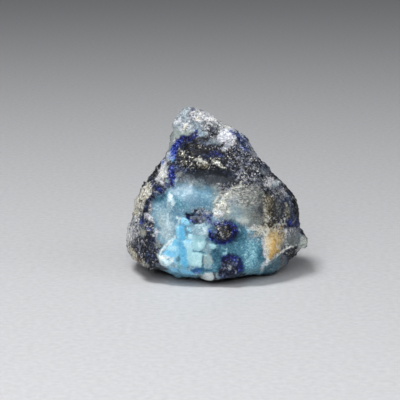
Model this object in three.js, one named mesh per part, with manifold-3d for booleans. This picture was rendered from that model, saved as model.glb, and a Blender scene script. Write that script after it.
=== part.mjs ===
// A thumb-sized lump of afghanite rock, broken by hand and left rough: one natural solid.
// Units are millimetres and +Z is up. The show face looks along -Y, with +X on its right.
// The origin is the middle of the lump's outline, level with the surface that it rests on.

import * as THREE from "three";
import { ImprovedNoise } from "three/addons/math/ImprovedNoise.js";
import { mergeVertices } from "three/addons/utils/BufferGeometryUtils.js";
import Module from "manifold-3d";

// ---- Driving dimensions ----

const WIDTH = 34.4; // across the show face: the finished lump is scaled to it
const MASS_WEAR = 0.6; // how widely the edges between two breaks are blunted
const TOP_WEAR = 0.75;
const CHUNK_BLEND = 1.2; // width of the hollow where two chunks meet
const RIPPLES = [ // unevenness of every break: its height, its length and where the pattern starts
  { height: 0.45, length: 7, start: 3.1 },
  { height: 0.25, length: 3, start: 7.7 },
];
const SKIN_DETAIL = 20; // cuts along each edge of the ball that becomes the lump's skin
const SKIN_RADIUS = 30;
const SETTLING_ROUNDS = 90;
const CRYSTAL_DEPTH = 3; // how far a cleavage plate reaches into the rock

const vector = (x = 0, y = 0, z = 0) => new THREE.Vector3(x, y, z);
const SKIN_CENTRE = vector(-1, 0, 13);

// ---- The broken chunks that the lump is made of ----

// A flat break: azimuth is counted from +X towards +Y and tilt upwards, both in degrees.
// Reach is how far the break lies from the middle of its chunk.
const flatBreak = ([azimuth, tilt, reach]) => {
  const a = THREE.MathUtils.degToRad(azimuth);
  const t = THREE.MathUtils.degToRad(tilt);
  return { normal: vector(Math.cos(a) * Math.cos(t), Math.sin(a) * Math.cos(t), Math.sin(t)), reach };
};

// A chunk is what is left inside all its flat breaks.
const chunk = (middle, wear, breaks) => ({ middle: vector(...middle), wear, breaks: breaks.map(flatBreak) });

const MAIN_MASS = chunk([0, 0, 10], MASS_WEAR, [
  [0, 6, 15.2], [337, 4, 14.9], [306, 8, 12.6], // right side and front right corner
  [343, 36, 13.7], [24, 36, 13.4], [350, 75, 16.2], // right slope and crown
  [195, 36, 15.3], [165, 38, 15.3], // left slope
  [180, 17, 15.6], [194, -6, 17.1], [212, 4, 15.7], [240, 6, 13.4], // left side and front left corner
  [270, 6, 11], [270, 31, 11.9], // show face
  [184, -47, 16], [215, -60, 12.9], [250, -50, 13.3], [300, -60, 12.2], [319, -39, 13.8], [0, -40, 15.6],
  [90, 10, 11.8], [128, 10, 14], [52, 6, 13.6], // back
  [90, 42, 12.2], [118, 40, 12.8], [62, 38, 12.6], // back slope
  [90, -42, 13.4], [135, -44, 14.4], [45, -42, 13.8], // back underside
]);

const PEAK = chunk([-4.2, 0, 22], TOP_WEAR, [
  [181, 9, 5.2], [226, 14, 5.2], [270, 24, 5], [314, 32, 5.2],
  [0, 45, 7.8], [350, 78, 9.1], [180, 56, 8.8],
  [90, 20, 5], [136, 16, 5.4], [46, 28, 5.8], [0, -90, 8],
]);

const SHOULDER = chunk([3, 0, 18], TOP_WEAR, [
  [10, 60, 8.4], [0, 43, 6.7], [0, 8, 5], [312, 26, 6.4], [270, 27, 7.2],
  [180, 0, 7], [90, 25, 6.4], [48, 24, 6.4], [0, -90, 8],
]);

const CHUNKS = [MAIN_MASS, PEAK, SHOULDER];

// ---- Swells, hollows and ridges on the breaks ----

// Rise is the height over the break and fade the share of its size over which it dies away.
// Turn is about Y, in degrees, and leans the shape to the right.
const swell = (at, size, rise, fade, turn = 0) => ({
  at: vector(...at), size: vector(...size), rise, fade, turn: THREE.MathUtils.degToRad(turn),
});

const SHOW_FACE_SWELLS = [
  swell([-6.8, -5, 25.6], [1.2, 4, 4.4], -0.6, 0.8, 39), // crease that the deep blue band follows
  swell([2.8, -5.6, 26], [1.8, 2.5, 2.2], 0.5, 0.5, 25), // white knob under the peak
  swell([-4.8, -8, 22.6], [3.8, 4, 1.8], 0.9, 0.7, -2), // lip of dark rock over the blue mass
  swell([0.4, -8, 22.2], [3.4, 4, 1.7], 0.8, 0.7, 8), // and its right end
  swell([-2.8, -9.3, 20.4], [6.4, 4, 1.3], -0.5, 0.8, 2), // groove beneath the lip
  swell([4.4, -9, 19.4], [3.4, 4, 1.6], -0.4, 0.8, 20), // and where the groove runs down
  swell([-5, -10.5, 16.6], [5.6, 4, 3.4], 0.8, 0.9), // smooth blue mass
  swell([-4, -11, 12.9], [2.3, 3, 0.9], -0.7, 0.6), // slot of dark mineral
  swell([1.5, -10.4, 15.9], [0.9, 3, 4], 0.5, 0.8, 37), // rib of pale fibres
  swell([1.2, -11, 9.8], [2.7, 3, 2.3], 0.6, 0.5), // dark blue knob
  swell([2, -11.5, 3.1], [2.7, 3, 2.2], 0.5, 0.5), // its fellow at the foot
  swell([6, -9.8, 15.8], [4.8, 4, 2.9], 0.9, 0.5, -15), // grey hump
  swell([7.2, -9.8, 11.4], [3.6, 3, 1.9], -0.8, 0.8), // hollow beneath the hump
  swell([9.6, -8, 12.8], [0.9, 4, 4.2], 0.6, 0.8, 4), // upright ridge to its right
  swell([12.2, -6.6, 13.4], [1.7, 3, 2.3], 0.5, 0.6), // smooth dark lump beyond the ridge
  swell([10, -8, 6.4], [1.9, 3, 3.6], 0.5, 0.5, 14), // stained rib
  swell([-1.4, -10.6, 1.3], [1.9, 2, 1.3], 0.6, 0.4), // chip at the foot
  swell([-12.4, -7.5, 5], [3.6, 4, 3.6], 0.5, 0.6), // dark block low on the left
];

const OTHER_SWELLS = [
  swell([-15.5, -2, 15.5], [2.2, 5, 5.6], 0.5, 0.4, 14), // slab on the left flank
  swell([-15, 4.5, 9.5], [3, 3.5, 2.4], -0.7, 0.8), // pit behind it
  swell([-14, 5.5, 5.2], [3, 4, 2.4], 0.6, 0.5), // lump under the pit
  swell([13, 5, 15], [3.4, 4, 4], 0.6, 0.4, -30), // slab on the right flank
  swell([15, 3, 9.6], [3, 4, 2.2], -0.6, 0.8), // hollow under the slab
  swell([1, 10, 19.4], [9, 6, 1.7], 0.9, 0.7, 6), // ledge across the back
  swell([2, 11, 16.9], [8, 5, 1.5], -0.6, 0.8, 6), // groove beneath the ledge
  swell([-6, 11, 10], [3.8, 4, 4.6], -1, 0.8, 10), // hollow low on the back
  swell([5, 11, 8.4], [4.4, 4, 4], 0.9, 0.5, -20), // lump beside the hollow
  swell([-11.5, 7.5, 9], [1.5, 5, 5.6], 0.7, 0.7, 18), // rib between the back and the left flank
  swell([-7, 4, 24.4], [3.4, 4, 1.6], 0.6, 0.6, -25), // step behind the peak
];

const SWELLS = [...SHOW_FACE_SWELLS, ...OTHER_SWELLS];

const riseAt = (p) => {
  let rise = 0;
  for (const s of SWELLS) {
    const dx = p.x - s.at.x;
    const dz = p.z - s.at.z;
    const x = (dx * Math.cos(s.turn) - dz * Math.sin(s.turn)) / s.size.x;
    const z = (dx * Math.sin(s.turn) + dz * Math.cos(s.turn)) / s.size.z;
    const away = Math.hypot(x, (p.y - s.at.y) / s.size.y, z);
    rise += s.rise * (1 - THREE.MathUtils.smoothstep(away, 1 - s.fade, 1));
  }
  return rise;
};

// ---- The rock's form ----

// A field is the distance outside a surface, in millimetres, and is negative inside it.
const softMax = (a, b, width) => {
  const h = Math.max(width - Math.abs(a - b), 0) / width;
  return Math.max(a, b) + (h * h * width) / 4;
};
const softMin = (a, b, width) => -softMax(-a, -b, width);

const chunkField = (p, { middle, wear, breaks }) => {
  let field = -Infinity;
  for (const { normal, reach } of breaks) {
    const outside = normal.x * (p.x - middle.x) + normal.y * (p.y - middle.y) + normal.z * (p.z - middle.z) - reach;
    field = field === -Infinity ? outside : softMax(field, outside, wear);
  }
  return field;
};

const perlin = new ImprovedNoise();
const ripple = (p, { height, length, start }) =>
  height * perlin.noise(p.x / length + start, p.y / length - start, p.z / length + 2 * start);

const rockField = (p) => {
  const chunks = CHUNKS.map((c) => chunkField(p, c)).reduce((a, b) => softMin(a, b, CHUNK_BLEND));
  return RIPPLES.reduce((field, r) => field - ripple(p, r), chunks - riseAt(p));
};

// ---- The skin: a ball of small triangles drawn onto the form ----

const SLOPE_STEP = 0.04;
const CONTACT = 1e-3;

const slope = (p) => {
  const q = p.clone();
  const along = (axis) => {
    q.copy(p)[axis] += SLOPE_STEP;
    const ahead = rockField(q);
    q.copy(p)[axis] -= SLOPE_STEP;
    return (ahead - rockField(q)) / (2 * SLOPE_STEP);
  };
  return vector(along("x"), along("y"), along("z"));
};

const bare = (geometry) => {
  geometry.deleteAttribute("normal");
  geometry.deleteAttribute("uv");
  return mergeVertices(geometry, 1e-3);
};

const neighboursOf = (geometry) => {
  const around = Array.from({ length: geometry.attributes.position.count }, () => new Set());
  const index = geometry.index.array;
  for (let i = 0; i < index.length; i += 3) {
    for (let k = 0; k < 3; k += 1) {
      around[index[i + k]].add(index[i + ((k + 1) % 3)]).add(index[i + ((k + 2) % 3)]);
    }
  }
  return around.map((s) => [...s]);
};

// Each point of the ball falls towards the middle until it meets the rock.
const fallOnto = (direction) => {
  const p = direction.clone().multiplyScalar(SKIN_RADIUS).add(SKIN_CENTRE);
  let gap = rockField(p);
  for (let step = 0; step < 200 && Math.abs(gap) > CONTACT; step += 1) {
    p.addScaledVector(direction, -0.8 * gap);
    gap = rockField(p);
  }
  return p;
};

// Points then slide along the rock, pulled harder by their far neighbours, until they lie evenly.
const settle = (points, around) => points.map((p, i) => {
  const pull = vector();
  let weight = 0;
  for (const j of around[i]) {
    const length = p.distanceTo(points[j]);
    pull.addScaledVector(points[j], length);
    weight += length;
  }
  pull.divideScalar(weight).sub(p);
  const normal = slope(p);
  const steepness = normal.length();
  normal.divideScalar(steepness);
  pull.addScaledVector(normal, -pull.dot(normal));
  const moved = p.clone().addScaledVector(pull, 0.6);
  return moved.addScaledVector(normal, -rockField(moved) / steepness);
});

const skin = () => {
  const ball = bare(new THREE.IcosahedronGeometry(SKIN_RADIUS, SKIN_DETAIL));
  const position = ball.attributes.position;
  const around = neighboursOf(ball);
  let points = around.map((_, i) => fallOnto(vector().fromBufferAttribute(position, i).normalize()));
  for (let round = 0; round < SETTLING_ROUNDS; round += 1) points = settle(points, around);
  points.forEach((p, i) => position.setXYZ(i, p.x, p.y, p.z));
  return ball;
};

// ---- Flat-faced crystals that stand proud of the breaks ----

// A crystal's outline is drawn in X and Z on its front face. That face lies at the given Y in its
// middle and leans from there: back is its slope towards +Y going up, and side the same going right.
const crystal = (outline, y, depth, back, side) => {
  const shape = new THREE.Shape(outline.map(([x, z]) => new THREE.Vector2(x, z)));
  const block = bare(new THREE.ExtrudeGeometry(shape, { depth, bevelEnabled: false }));
  block.rotateX(Math.PI / 2);
  const middleX = outline.reduce((sum, [x]) => sum + x, 0) / outline.length;
  const middleZ = outline.reduce((sum, [, z]) => sum + z, 0) / outline.length;
  const position = block.attributes.position;
  for (let i = 0; i < position.count; i += 1) {
    const lean = back * (position.getZ(i) - middleZ) + side * (position.getX(i) - middleX);
    position.setY(i, y + depth + position.getY(i) + lean);
  }
  return block;
};

const UPPER_PLATE = [[-6.4, 13.1], [-7.8, 11], [-7.5, 8.6], [-3.6, 6.6], [-0.4, 7.9], [-1.8, 10.6], [-4.4, 12.6]];
const LEFT_PLATE = [[-7.3, 9], [-9.4, 6.8], [-11, 4.9], [-8.8, 2.9], [-6.9, 2.7], [-6.6, 8.4]];
const MIDDLE_PLATE = [[-7, 8.8], [-7, 2.6], [-3.1, 2.3], [-3.4, 8.2]];
const RIGHT_PLATE = [[-3.6, 7.5], [-3.2, 2.4], [-0.8, 2.6], [-0.3, 7.8]];
const BLUNT_END = [[11, 9.2], [11, 5.4], [14.8, 4.6], [16.3, 5], [17, 6.2], [15.8, 8]];

const CRYSTALS = [
  crystal(UPPER_PLATE, -11.6, CRYSTAL_DEPTH, 0.12, 0.03),
  crystal(LEFT_PLATE, -11.4, CRYSTAL_DEPTH, 0.08, -0.36),
  crystal(MIDDLE_PLATE, -12, CRYSTAL_DEPTH, 0.06, -0.02),
  crystal(RIGHT_PLATE, -11.7, CRYSTAL_DEPTH, -0.03, 0.12),
  crystal(BLUNT_END, -3.2, 4.6, 0.1, 0.25),
];

// ---- The finished lump, cut off flat where it rests ----

const wasm = await Module();
wasm.setup();

const toSolid = (geometry) => new wasm.Manifold(new wasm.Mesh({
  numProp: 3,
  vertProperties: Float32Array.from(geometry.attributes.position.array),
  triVerts: Uint32Array.from(geometry.index.array),
}));

const toGeometry = (solid) => {
  const mesh = solid.getMesh();
  const geometry = new THREE.BufferGeometry();
  geometry.setAttribute("position", new THREE.BufferAttribute(mesh.vertProperties, 3));
  geometry.setIndex(new THREE.BufferAttribute(mesh.triVerts, 1));
  return geometry;
};

const below = bare(new THREE.BoxGeometry(80, 80, 20).translate(0, 0, -10));
const grown = CRYSTALS.reduce((solid, c) => solid.add(toSolid(c)), toSolid(skin()));
const lump = toGeometry(grown.subtract(toSolid(below)));

lump.computeBoundingBox();
const middle = lump.boundingBox.getCenter(vector());
const width = lump.boundingBox.max.x - lump.boundingBox.min.x;
lump.translate(-middle.x, -middle.y, 0);
lump.scale(WIDTH / width, WIDTH / width, WIDTH / width);

const rock = new THREE.Mesh(lump, new THREE.MeshStandardMaterial({ color: 0x6f97a8, roughness: 0.45, metalness: 0 }));
rock.name = "afghanite_rock";

const specimen = new THREE.Group();
specimen.add(rock);
export default specimen;
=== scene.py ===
from collections import namedtuple
import itertools
import math

import bpy
import numpy as np
from mathutils import Matrix, Vector


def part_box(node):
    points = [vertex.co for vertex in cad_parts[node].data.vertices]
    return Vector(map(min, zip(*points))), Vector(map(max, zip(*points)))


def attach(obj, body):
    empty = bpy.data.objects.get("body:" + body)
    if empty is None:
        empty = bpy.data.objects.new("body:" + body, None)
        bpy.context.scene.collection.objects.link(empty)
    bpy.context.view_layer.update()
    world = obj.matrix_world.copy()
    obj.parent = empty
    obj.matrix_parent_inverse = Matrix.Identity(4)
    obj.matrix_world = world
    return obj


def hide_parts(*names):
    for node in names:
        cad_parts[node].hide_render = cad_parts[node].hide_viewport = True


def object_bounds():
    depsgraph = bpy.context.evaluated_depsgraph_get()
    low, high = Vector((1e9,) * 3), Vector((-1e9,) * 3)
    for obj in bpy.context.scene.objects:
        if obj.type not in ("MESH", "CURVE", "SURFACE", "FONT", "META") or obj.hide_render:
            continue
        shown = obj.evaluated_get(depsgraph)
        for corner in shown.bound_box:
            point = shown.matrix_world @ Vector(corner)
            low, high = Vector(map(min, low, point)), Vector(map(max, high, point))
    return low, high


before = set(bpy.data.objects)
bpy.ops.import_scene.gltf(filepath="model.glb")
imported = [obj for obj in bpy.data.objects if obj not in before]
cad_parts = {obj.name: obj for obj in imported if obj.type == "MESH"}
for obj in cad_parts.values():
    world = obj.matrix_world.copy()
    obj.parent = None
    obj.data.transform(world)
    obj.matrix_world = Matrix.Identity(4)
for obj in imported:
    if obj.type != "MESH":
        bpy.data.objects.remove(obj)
cad_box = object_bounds()


# ---- The lump's broken skin -------------------------------------------------------------------
# One hand specimen of afghanite rock, broken all over, with no face that was cut or polished.
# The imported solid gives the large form. A finer skin is drawn over it, and the marks of the solid's
# own flat faces are relaxed away before the minerals get their own relief. Lengths are in mm.

MM = 0.001
SKIN_STEP = 0.203
SKIN_ROOM = 0.25
FACE_MARK_ROUNDS = 9
FACE_MARK_SHARE = 0.5

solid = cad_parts["afghanite_rock"]
box_low = np.array(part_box("afghanite_rock")[0]) / MM
box_high = np.array(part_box("afghanite_rock")[1]) / MM

lump = bpy.data.objects.new("afghanite_lump", solid.data.copy())
bpy.context.scene.collection.objects.link(lump)
lump.data.transform(Matrix.Scale(1 / MM, 4))
finer = lump.modifiers.new("finer skin", "REMESH")
finer.mode = "VOXEL"
finer.voxel_size = SKIN_STEP
skin = bpy.data.meshes.new_from_object(lump.evaluated_get(bpy.context.evaluated_depsgraph_get()))
lump.modifiers.clear()
lump.data = skin
skin.name = "afghanite_lump"

edges = np.empty(len(skin.edges) * 2, np.int32)
skin.edges.foreach_get("vertices", edges)
edges = edges.reshape(-1, 2)
ends = np.concatenate([edges[:, 0], edges[:, 1]])
others = np.concatenate([edges[:, 1], edges[:, 0]])
neighbours = np.bincount(ends, minlength=len(skin.vertices))


def skin_points():
    places = np.empty(len(skin.vertices) * 3)
    skin.vertices.foreach_get("co", places)
    return places.reshape(-1, 3)


def set_skin(places):
    """Moves the skin, keeping it above the table and within SKIN_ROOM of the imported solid's box."""
    places = np.clip(places, box_low - [SKIN_ROOM, SKIN_ROOM, 0], box_high + SKIN_ROOM)
    skin.vertices.foreach_set("co", places.ravel())
    skin.update()
    return places


def skin_normals():
    directions = np.empty(len(skin.vertices) * 3, np.float32)
    skin.vertex_normals.foreach_get("vector", directions)
    return directions.reshape(-1, 3).astype(float)


def averaged(values):
    """Each point's value becomes the mean of its neighbours'."""
    if values.ndim == 1:
        return np.bincount(ends, values[others], minlength=len(values)) / neighbours
    return np.stack([averaged(column) for column in values.T], axis=1)


def smooth_step(low, high, values):
    """0 up to low and 1 from high on, eased between them. low may be the larger one."""
    way = np.clip((values - low) / (high - low), 0, 1)
    return way * way * (3 - 2 * way)


points = skin_points()
for _ in range(FACE_MARK_ROUNDS):
    points = points + (averaged(points) - points) * FACE_MARK_SHARE
points = set_skin(points)


# ---- How rock breaks: ripples and grains ------------------------------------------------------
# Two patterns make the fine relief: soft ripples, as on waxy stone, and packed crystal grains, each
# a small tilted plane that stands a little above or below the ones beside it.

def scattered(cells, seed):
    """A fixed number from 0 to 1 for every whole-numbered cell."""
    mixed = cells[:, 0] * 73856093 ^ cells[:, 1] * 19349663 ^ cells[:, 2] * 83492791 ^ (seed * 9277)
    mixed = (mixed ^ (mixed >> 15)) * 2246822519 & 0xFFFFFFFF
    mixed = (mixed ^ (mixed >> 13)) * 3266489917 & 0xFFFFFFFF
    return (mixed ^ (mixed >> 16)) / 0xFFFFFFFF


def ripple(places, size, seed):
    """Soft noise from about -1 to 1, with bumps about that size apart."""
    scaled = places / size
    cells = np.floor(scaled).astype(np.int64)
    inside = scaled - cells
    ease = inside**3 * (inside * (inside * 6 - 15) + 10)
    total = np.zeros(len(places))
    for corner in itertools.product((0, 1), repeat=3):
        slope = np.stack([scattered(cells + corner, seed + axis) for axis in range(3)], 1) * 2 - 1
        share = np.prod(np.where(corner, ease, 1 - ease), axis=1)
        total += share * ((inside - corner) * slope).sum(1)
    return total * 1.8


def grains(places, size, seed, tilt=0.9):
    """Packed grains: (height of the grain's own face, in sizes; the grain's number from 0 to 1)."""
    scaled = places / size
    cells = np.floor(scaled).astype(np.int64)
    height = np.full(len(places), -9.0)
    number = np.zeros(len(places))
    nearest = np.full(len(places), 9.0)
    for corner in itertools.product((-1, 0, 1), repeat=3):
        home = cells + corner
        spot = np.stack([scattered(home, seed + 10 + axis) for axis in range(3)], 1)
        lean = np.stack([scattered(home, seed + 20 + axis) for axis in range(3)], 1) - 0.5
        away = scaled - home - spot
        far = (away**2).sum(1)
        own = scattered(home, seed + 30)
        plane = own * 0.5 + (away * lean).sum(1) * tilt - far * 0.9
        height = np.maximum(height, plane)
        closer = far < nearest
        nearest = np.where(closer, far, nearest)
        number = np.where(closer, own, number)
    return height, number


# ---- Which mineral lies where -----------------------------------------------------------------
# The rock is taken to be a patchwork of pale blue afghanite, ultramarine lazurite, dark diopside with
# pyrite, white calcite and a rusty stain. Each is grown into the next, so all are shares of one skin.
# Places on the show face are read in its front elevation, as seen from 300 mm away and 13 degrees up.
# The eye is aimed at EYE_AIM, which stands AIM_UP above the elevation's lower edge.

EYE_RISE = math.radians(13)
EYE_DISTANCE = 300
EYE_AIM = np.array([-3.13, 0, 13.74])
AIM_UP = 15.63

Mineral = namedtuple("Mineral", "dark body pale graininess roughness grains crumbs ripples")

MINERALS = {
    # its three colours, how much they vary, roughness, and the relief of grains, crumbs and ripples in mm
    "charcoal": Mineral((5, 7, 12), (32, 35, 45), (126, 131, 151), 1.15, 0.40, 0.36, 0.06, 0.05),
    "night": Mineral((5, 8, 22), (21, 30, 57), (92, 108, 150), 1.1, 0.38, 0.30, 0.06, 0.05),
    "lazurite": Mineral((6, 8, 54), (29, 49, 158), (136, 160, 246), 1.5, 0.38, 0.20, 0.04, 0.05),
    "chalk": Mineral((112, 118, 134), (202, 206, 216), (255, 255, 255), 1.05, 0.45, 0.24, 0.04, 0.05),
    "frost": Mineral((110, 125, 136), (172, 185, 194), (240, 246, 250), 1.0, 0.42, 0.12, 0.03, 0.06),
    "pyrite": Mineral((22, 22, 22), (110, 109, 99), (248, 246, 230), 1.9, 0.30, 0.36, 0.08, 0.00),
    "granite": Mineral((66, 72, 80), (148, 152, 157), (240, 239, 238), 1.0, 0.48, 0.26, 0.05, 0.06),
    "sky": Mineral((66, 114, 142), (110, 154, 177), (178, 212, 224), 0.55, 0.34, 0.02, 0.01, 0.12),
    "ice": Mineral((116, 152, 166), (158, 190, 203), (226, 242, 248), 0.7, 0.42, 0.05, 0.03, 0.08),
    "cyan": Mineral((84, 178, 218), (144, 212, 242), (212, 246, 254), 0.4, 0.28, 0.02, 0.01, 0.02),
    "azure": Mineral((56, 154, 208), (101, 191, 233), (152, 218, 248), 0.34, 0.25, 0.01, 0.01, 0.02),
    "mint": Mineral((140, 196, 207), (173, 221, 231), (222, 250, 250), 0.5, 0.32, 0.02, 0.01, 0.03),
    "teal": Mineral((28, 80, 104), (78, 137, 160), (152, 208, 222), 0.7, 0.38, 0.06, 0.04, 0.06),
    "smoke": Mineral((84, 92, 88), (142, 155, 154), (194, 204, 201), 0.42, 0.36, 0.02, 0.01, 0.10),
    # shade: a smooth dark blue-grey; under the ledge it is also laid as painted shade.
    "shade": Mineral((34, 36, 42), (55, 62, 71), (112, 126, 137), 0.7, 0.40, 0.04, 0.02, 0.08),
    "cream": Mineral((136, 141, 132), (206, 211, 201), (255, 255, 250), 1.1, 0.52, 0.22, 0.06, 0.04),
    "fibre": Mineral((78, 82, 82), (140, 144, 141), (220, 220, 212), 0.9, 0.50, 0.08, 0.04, 0.05),
    "ochre": Mineral((146, 102, 48), (208, 170, 104), (236, 216, 160), 0.55, 0.62, 0.06, 0.04, 0.06),
    "olive": Mineral((44, 40, 30), (100, 94, 76), (214, 204, 182), 1.2, 0.50, 0.26, 0.06, 0.04),
    "snow": Mineral((130, 182, 204), (200, 232, 243), (246, 255, 255), 1.0, 0.50, 0.28, 0.10, 0.00),
}
NAMES = list(MINERALS)

normals = skin_normals()
toward_eye = np.array([0, -math.cos(EYE_RISE), math.sin(EYE_RISE)])
upward = np.array([0, math.sin(EYE_RISE), math.cos(EYE_RISE)])
from_aim = points - EYE_AIM
nearness = 1 - from_aim @ toward_eye / EYE_DISTANCE
elevation = np.stack([EYE_AIM[0] + from_aim[:, 0] / nearness, AIM_UP + from_aim @ upward / nearness], 1)
ragged = np.stack([ripple(points, 1.1, 3 + axis) * 0.18 + ripple(points, 0.45, 13 + axis) * 0.10
                   + (grains(points, 0.5, 23 + axis)[1] - 0.5) * 0.3 for axis in range(2)], 1)
face = elevation + ragged
wander = [ripple(points, 4.2, 33 + axis) * 1.6 + ripple(points, 1.9, 43 + axis) * 0.8
          + ripple(points, 0.8, 53 + axis) * 0.4 for axis in range(3)]
ragged_points = points + np.stack(wander, 1)

turned = normals @ toward_eye
seen = smooth_step(0.00, 0.10, turned + ripple(points, 2.4, 71) * 0.16 + ripple(points, 0.9, 75) * 0.08)
beside_face = smooth_step(-0.7, -0.2, turned)

# The rock's grain: crystals of mixed sizes, a little drawn out down to the right, in loose clusters.
GRAIN_RUN = np.array([0.80, 0.10, -0.59])
GRAIN_STRETCH = 0.35
drawn_out = points - (points @ GRAIN_RUN)[:, None] * GRAIN_RUN * GRAIN_STRETCH
drawn_out += np.stack([ripple(points, 0.7, 61 + axis) * 0.30 for axis in range(3)], 1)


def ranked(values):
    """Spreads values evenly over 0 to 1, keeping their order."""
    return np.argsort(np.argsort(values)) / len(values)


lottery = ranked(grains(drawn_out, 0.66, 90)[1] * 0.5 + grains(drawn_out, 0.30, 91)[1] * 0.3
                 + ripple(points, 1.8, 95) * 0.25)
fine_lottery = ranked(grains(drawn_out, 0.42, 190)[1] * 0.45 + grains(drawn_out, 0.25, 191)[1] * 0.35
                      + ripple(points, 1.2, 195) * 0.25)

weights = np.zeros((len(points), len(NAMES)))
weights[:, NAMES.index("charcoal")] = 1
shades = np.zeros(len(points))
strokes_laid = 0

FAR = 99.0
DRAW_STEP = 0.377
DRAW_EDGE = 0.06


def stroke(path, soft):
    """1 inside a stroke on the show face and 0 outside. path: points as (across, up, half width)."""
    gap = np.full(len(face), FAR)
    for (x1, y1, half1), (x2, y2, half2) in zip(path, path[1:] or path):
        run = np.array([x2 - x1, y2 - y1])
        rest = face - [x1, y1]
        way = np.clip(rest @ run / max(run @ run, 1e-9), 0, 1)
        aside = np.linalg.norm(rest - way[:, None] * run, axis=1)
        gap = np.minimum(gap, aside - half1 - way * (half2 - half1))
    return smooth_step(soft, -soft, gap)


def cover_with(mineral, shade, cover, share):
    """Puts a mineral over what is there. Below a share of 1 it takes only that many of the grains."""
    global weights, shades, strokes_laid
    if share < 1:
        draw = (fine_lottery if strokes_laid % 2 else lottery) + strokes_laid * DRAW_STEP
        cover = cover * smooth_step(share + DRAW_EDGE, share - DRAW_EDGE, draw % 1)
    weights *= 1 - cover[:, None]
    weights[:, NAMES.index(mineral)] += cover
    shades += cover * (shade - shades)
    strokes_laid += 1


def lay(mineral, shade, *path, share=1.0, soft=0.22, thin=1.0):
    """Lays a mineral along a path, as dark or pale as shade says, from about -0.6 to 0.6.
    share: how many of the grains it takes. thin: how much of it tints what lies there."""
    cover_with(mineral, shade, stroke(path, soft) * seen * thin, share)


def lay_behind(mineral, shade, centre, reach, share=1.0, soft=0.3):
    """A body of a mineral on the sides and back: its centre, its reach along each axis, a rim of grains."""
    gap = np.linalg.norm((ragged_points - centre) / reach, axis=1) - 1
    draw = 0.96 * (lottery + strokes_laid * DRAW_STEP) % 1
    cover = smooth_step(-DRAW_EDGE, DRAW_EDGE, smooth_step(soft, -soft, gap) * share - 0.02 - draw)
    cover_with(mineral, shade, cover * (1 - seen), 1.0)


# ---- The sides and the back -------------------------------------------------------------------
# What the show face doesn't tell, laid as the same rock would go on: dark granular rock with a
# grey-white calcite mass, a body of pale blue running through, lazurite veins and pyrite.

lay_behind("granite", -0.1, (-4, 4, 26), (7, 6, 7), share=0.75)
lay_behind("frost", -0.1, (-6, 0, 30), (4, 4, 4), share=0.8)
lay_behind("fibre", 0, (4, 9, 17), (8, 6, 7), share=0.9)
lay_behind("chalk", -0.05, (-4, 11, 16), (4.5, 4, 4))
lay_behind("chalk", 0, (2, 4, 27), (3, 4, 3), share=0.8)
lay_behind("granite", -0.1, (8, 3, 22), (5, 6, 4), share=0.4)
lay_behind("sky", 0, (4, 12, 8), (7, 5, 4.5), soft=0.15)
lay_behind("ice", 0, (8, 11, 9), (3.5, 4, 3), share=0.7)
lay_behind("pyrite", 0.1, (-15, -2, 15), (4, 4, 4.5), share=0.7)
lay_behind("cream", -0.2, (-15, -2, 15), (4, 4, 4.5), share=0.4)
lay_behind("pyrite", 0.1, (-13, 3.5, 15.5), (3, 3.5, 3.2), share=0.6)
lay_behind("cream", -0.1, (-13, 3.5, 15.5), (3, 3.5, 3.2), share=0.6)
lay_behind("granite", -0.15, (-15, 3, 10), (4, 7, 5), share=0.6)
lay_behind("night", 0, (-12, 8, 6), (6, 6, 4), share=0.7)
lay_behind("olive", -0.1, (12, 2, 14), (4, 6, 4), share=0.4)
lay_behind("smoke", -0.1, (15, 0, 8), (3, 4, 3), share=0.8)
lay_behind("night", 0, (14, 4, 13), (4, 6, 4), share=0.6)
lay_behind("ochre", 0, (12, 7, 5), (2.4, 3, 1.8), share=0.7)
lay_behind("cream", -0.1, (10, 9, 5), (3, 3, 2), share=0.6)
lay_behind("teal", 0, (2, 8, 2), (9, 7, 2), soft=0.15)
for mineral, seed, apart, width, share in (
        ("lazurite", 301, 11, 0.06, 0.85), ("night", 307, 8, 0.045, 0.8),
        ("pyrite", 313, 9, 0.04, 0.6), ("chalk", 331, 7, 0.03, 0.7)):
    vein = smooth_step(width, width * 0.4, np.abs(ripple(ragged_points, apart, seed)))
    patchy = smooth_step(-0.1, 0.2, ripple(points, 9, seed + 3))
    cover_with(mineral, 0.0, vein * patchy * (1 - seen), share)
lay_behind("granite", 0.1, (-3, 2, 31), (6.5, 3, 3))
lay_behind("chalk", 0, (-1, 2, 30.5), (3.5, 3, 2.5), share=0.5)


# ---- The large bodies of the show face --------------------------------------------------------
# Broad fields first, so that each smaller mineral is set into the one that it grew in.

lay("granite", -0.08, (-7.4, 28.8, 2.4), (-5, 31, 3.2), (-1.6, 30.2, 2.4), (0.6, 29.4, 1.6), soft=0.5)
lay("granite", -0.12, (1.6, 27.6, 1.8), (2.4, 25.8, 1.2), soft=0.5)
lay("sky", -0.05, (-9.6, 13.6, 2.8), (-5.4, 15.6, 3.4), (-2.2, 15.2, 3), (-0.6, 13, 2), soft=0.8)
lay("sky", -0.02, (-10, 9.6, 2), (-7.6, 10.4, 2.4), (-4, 9, 3.6), (-7.4, 5.2, 3.4), (-4.4, 4.4, 3.4),
    soft=0.6)
lay("teal", -0.02, (-6, 2.6, 1.6), (0.4, 5.4, 3.6), (4.4, 6.8, 3.8), (6.6, 5, 3.6), (8.4, 3.6, 2), soft=0.6)
lay("smoke", -0.02, (1.8, 14, 2), (4.6, 13.8, 2.6), (7, 13.2, 2.6), soft=0.7)
lay("fibre", -0.08, (3.2, 16.6, 1.6), (6, 16.4, 1.8), (8.2, 15.8, 1.2), soft=0.8)
lay("granite", -0.25, (13.6, 8.8, 1.8), (15.6, 8, 1.8), soft=0.5)
lay("olive", -0.1, (10, 15, 1.2), (10, 11, 1.4), soft=0.5)
lay("night", -0.05, (13.6, 15.4, 1.4), (14.6, 12, 1.8), soft=0.5)


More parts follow.
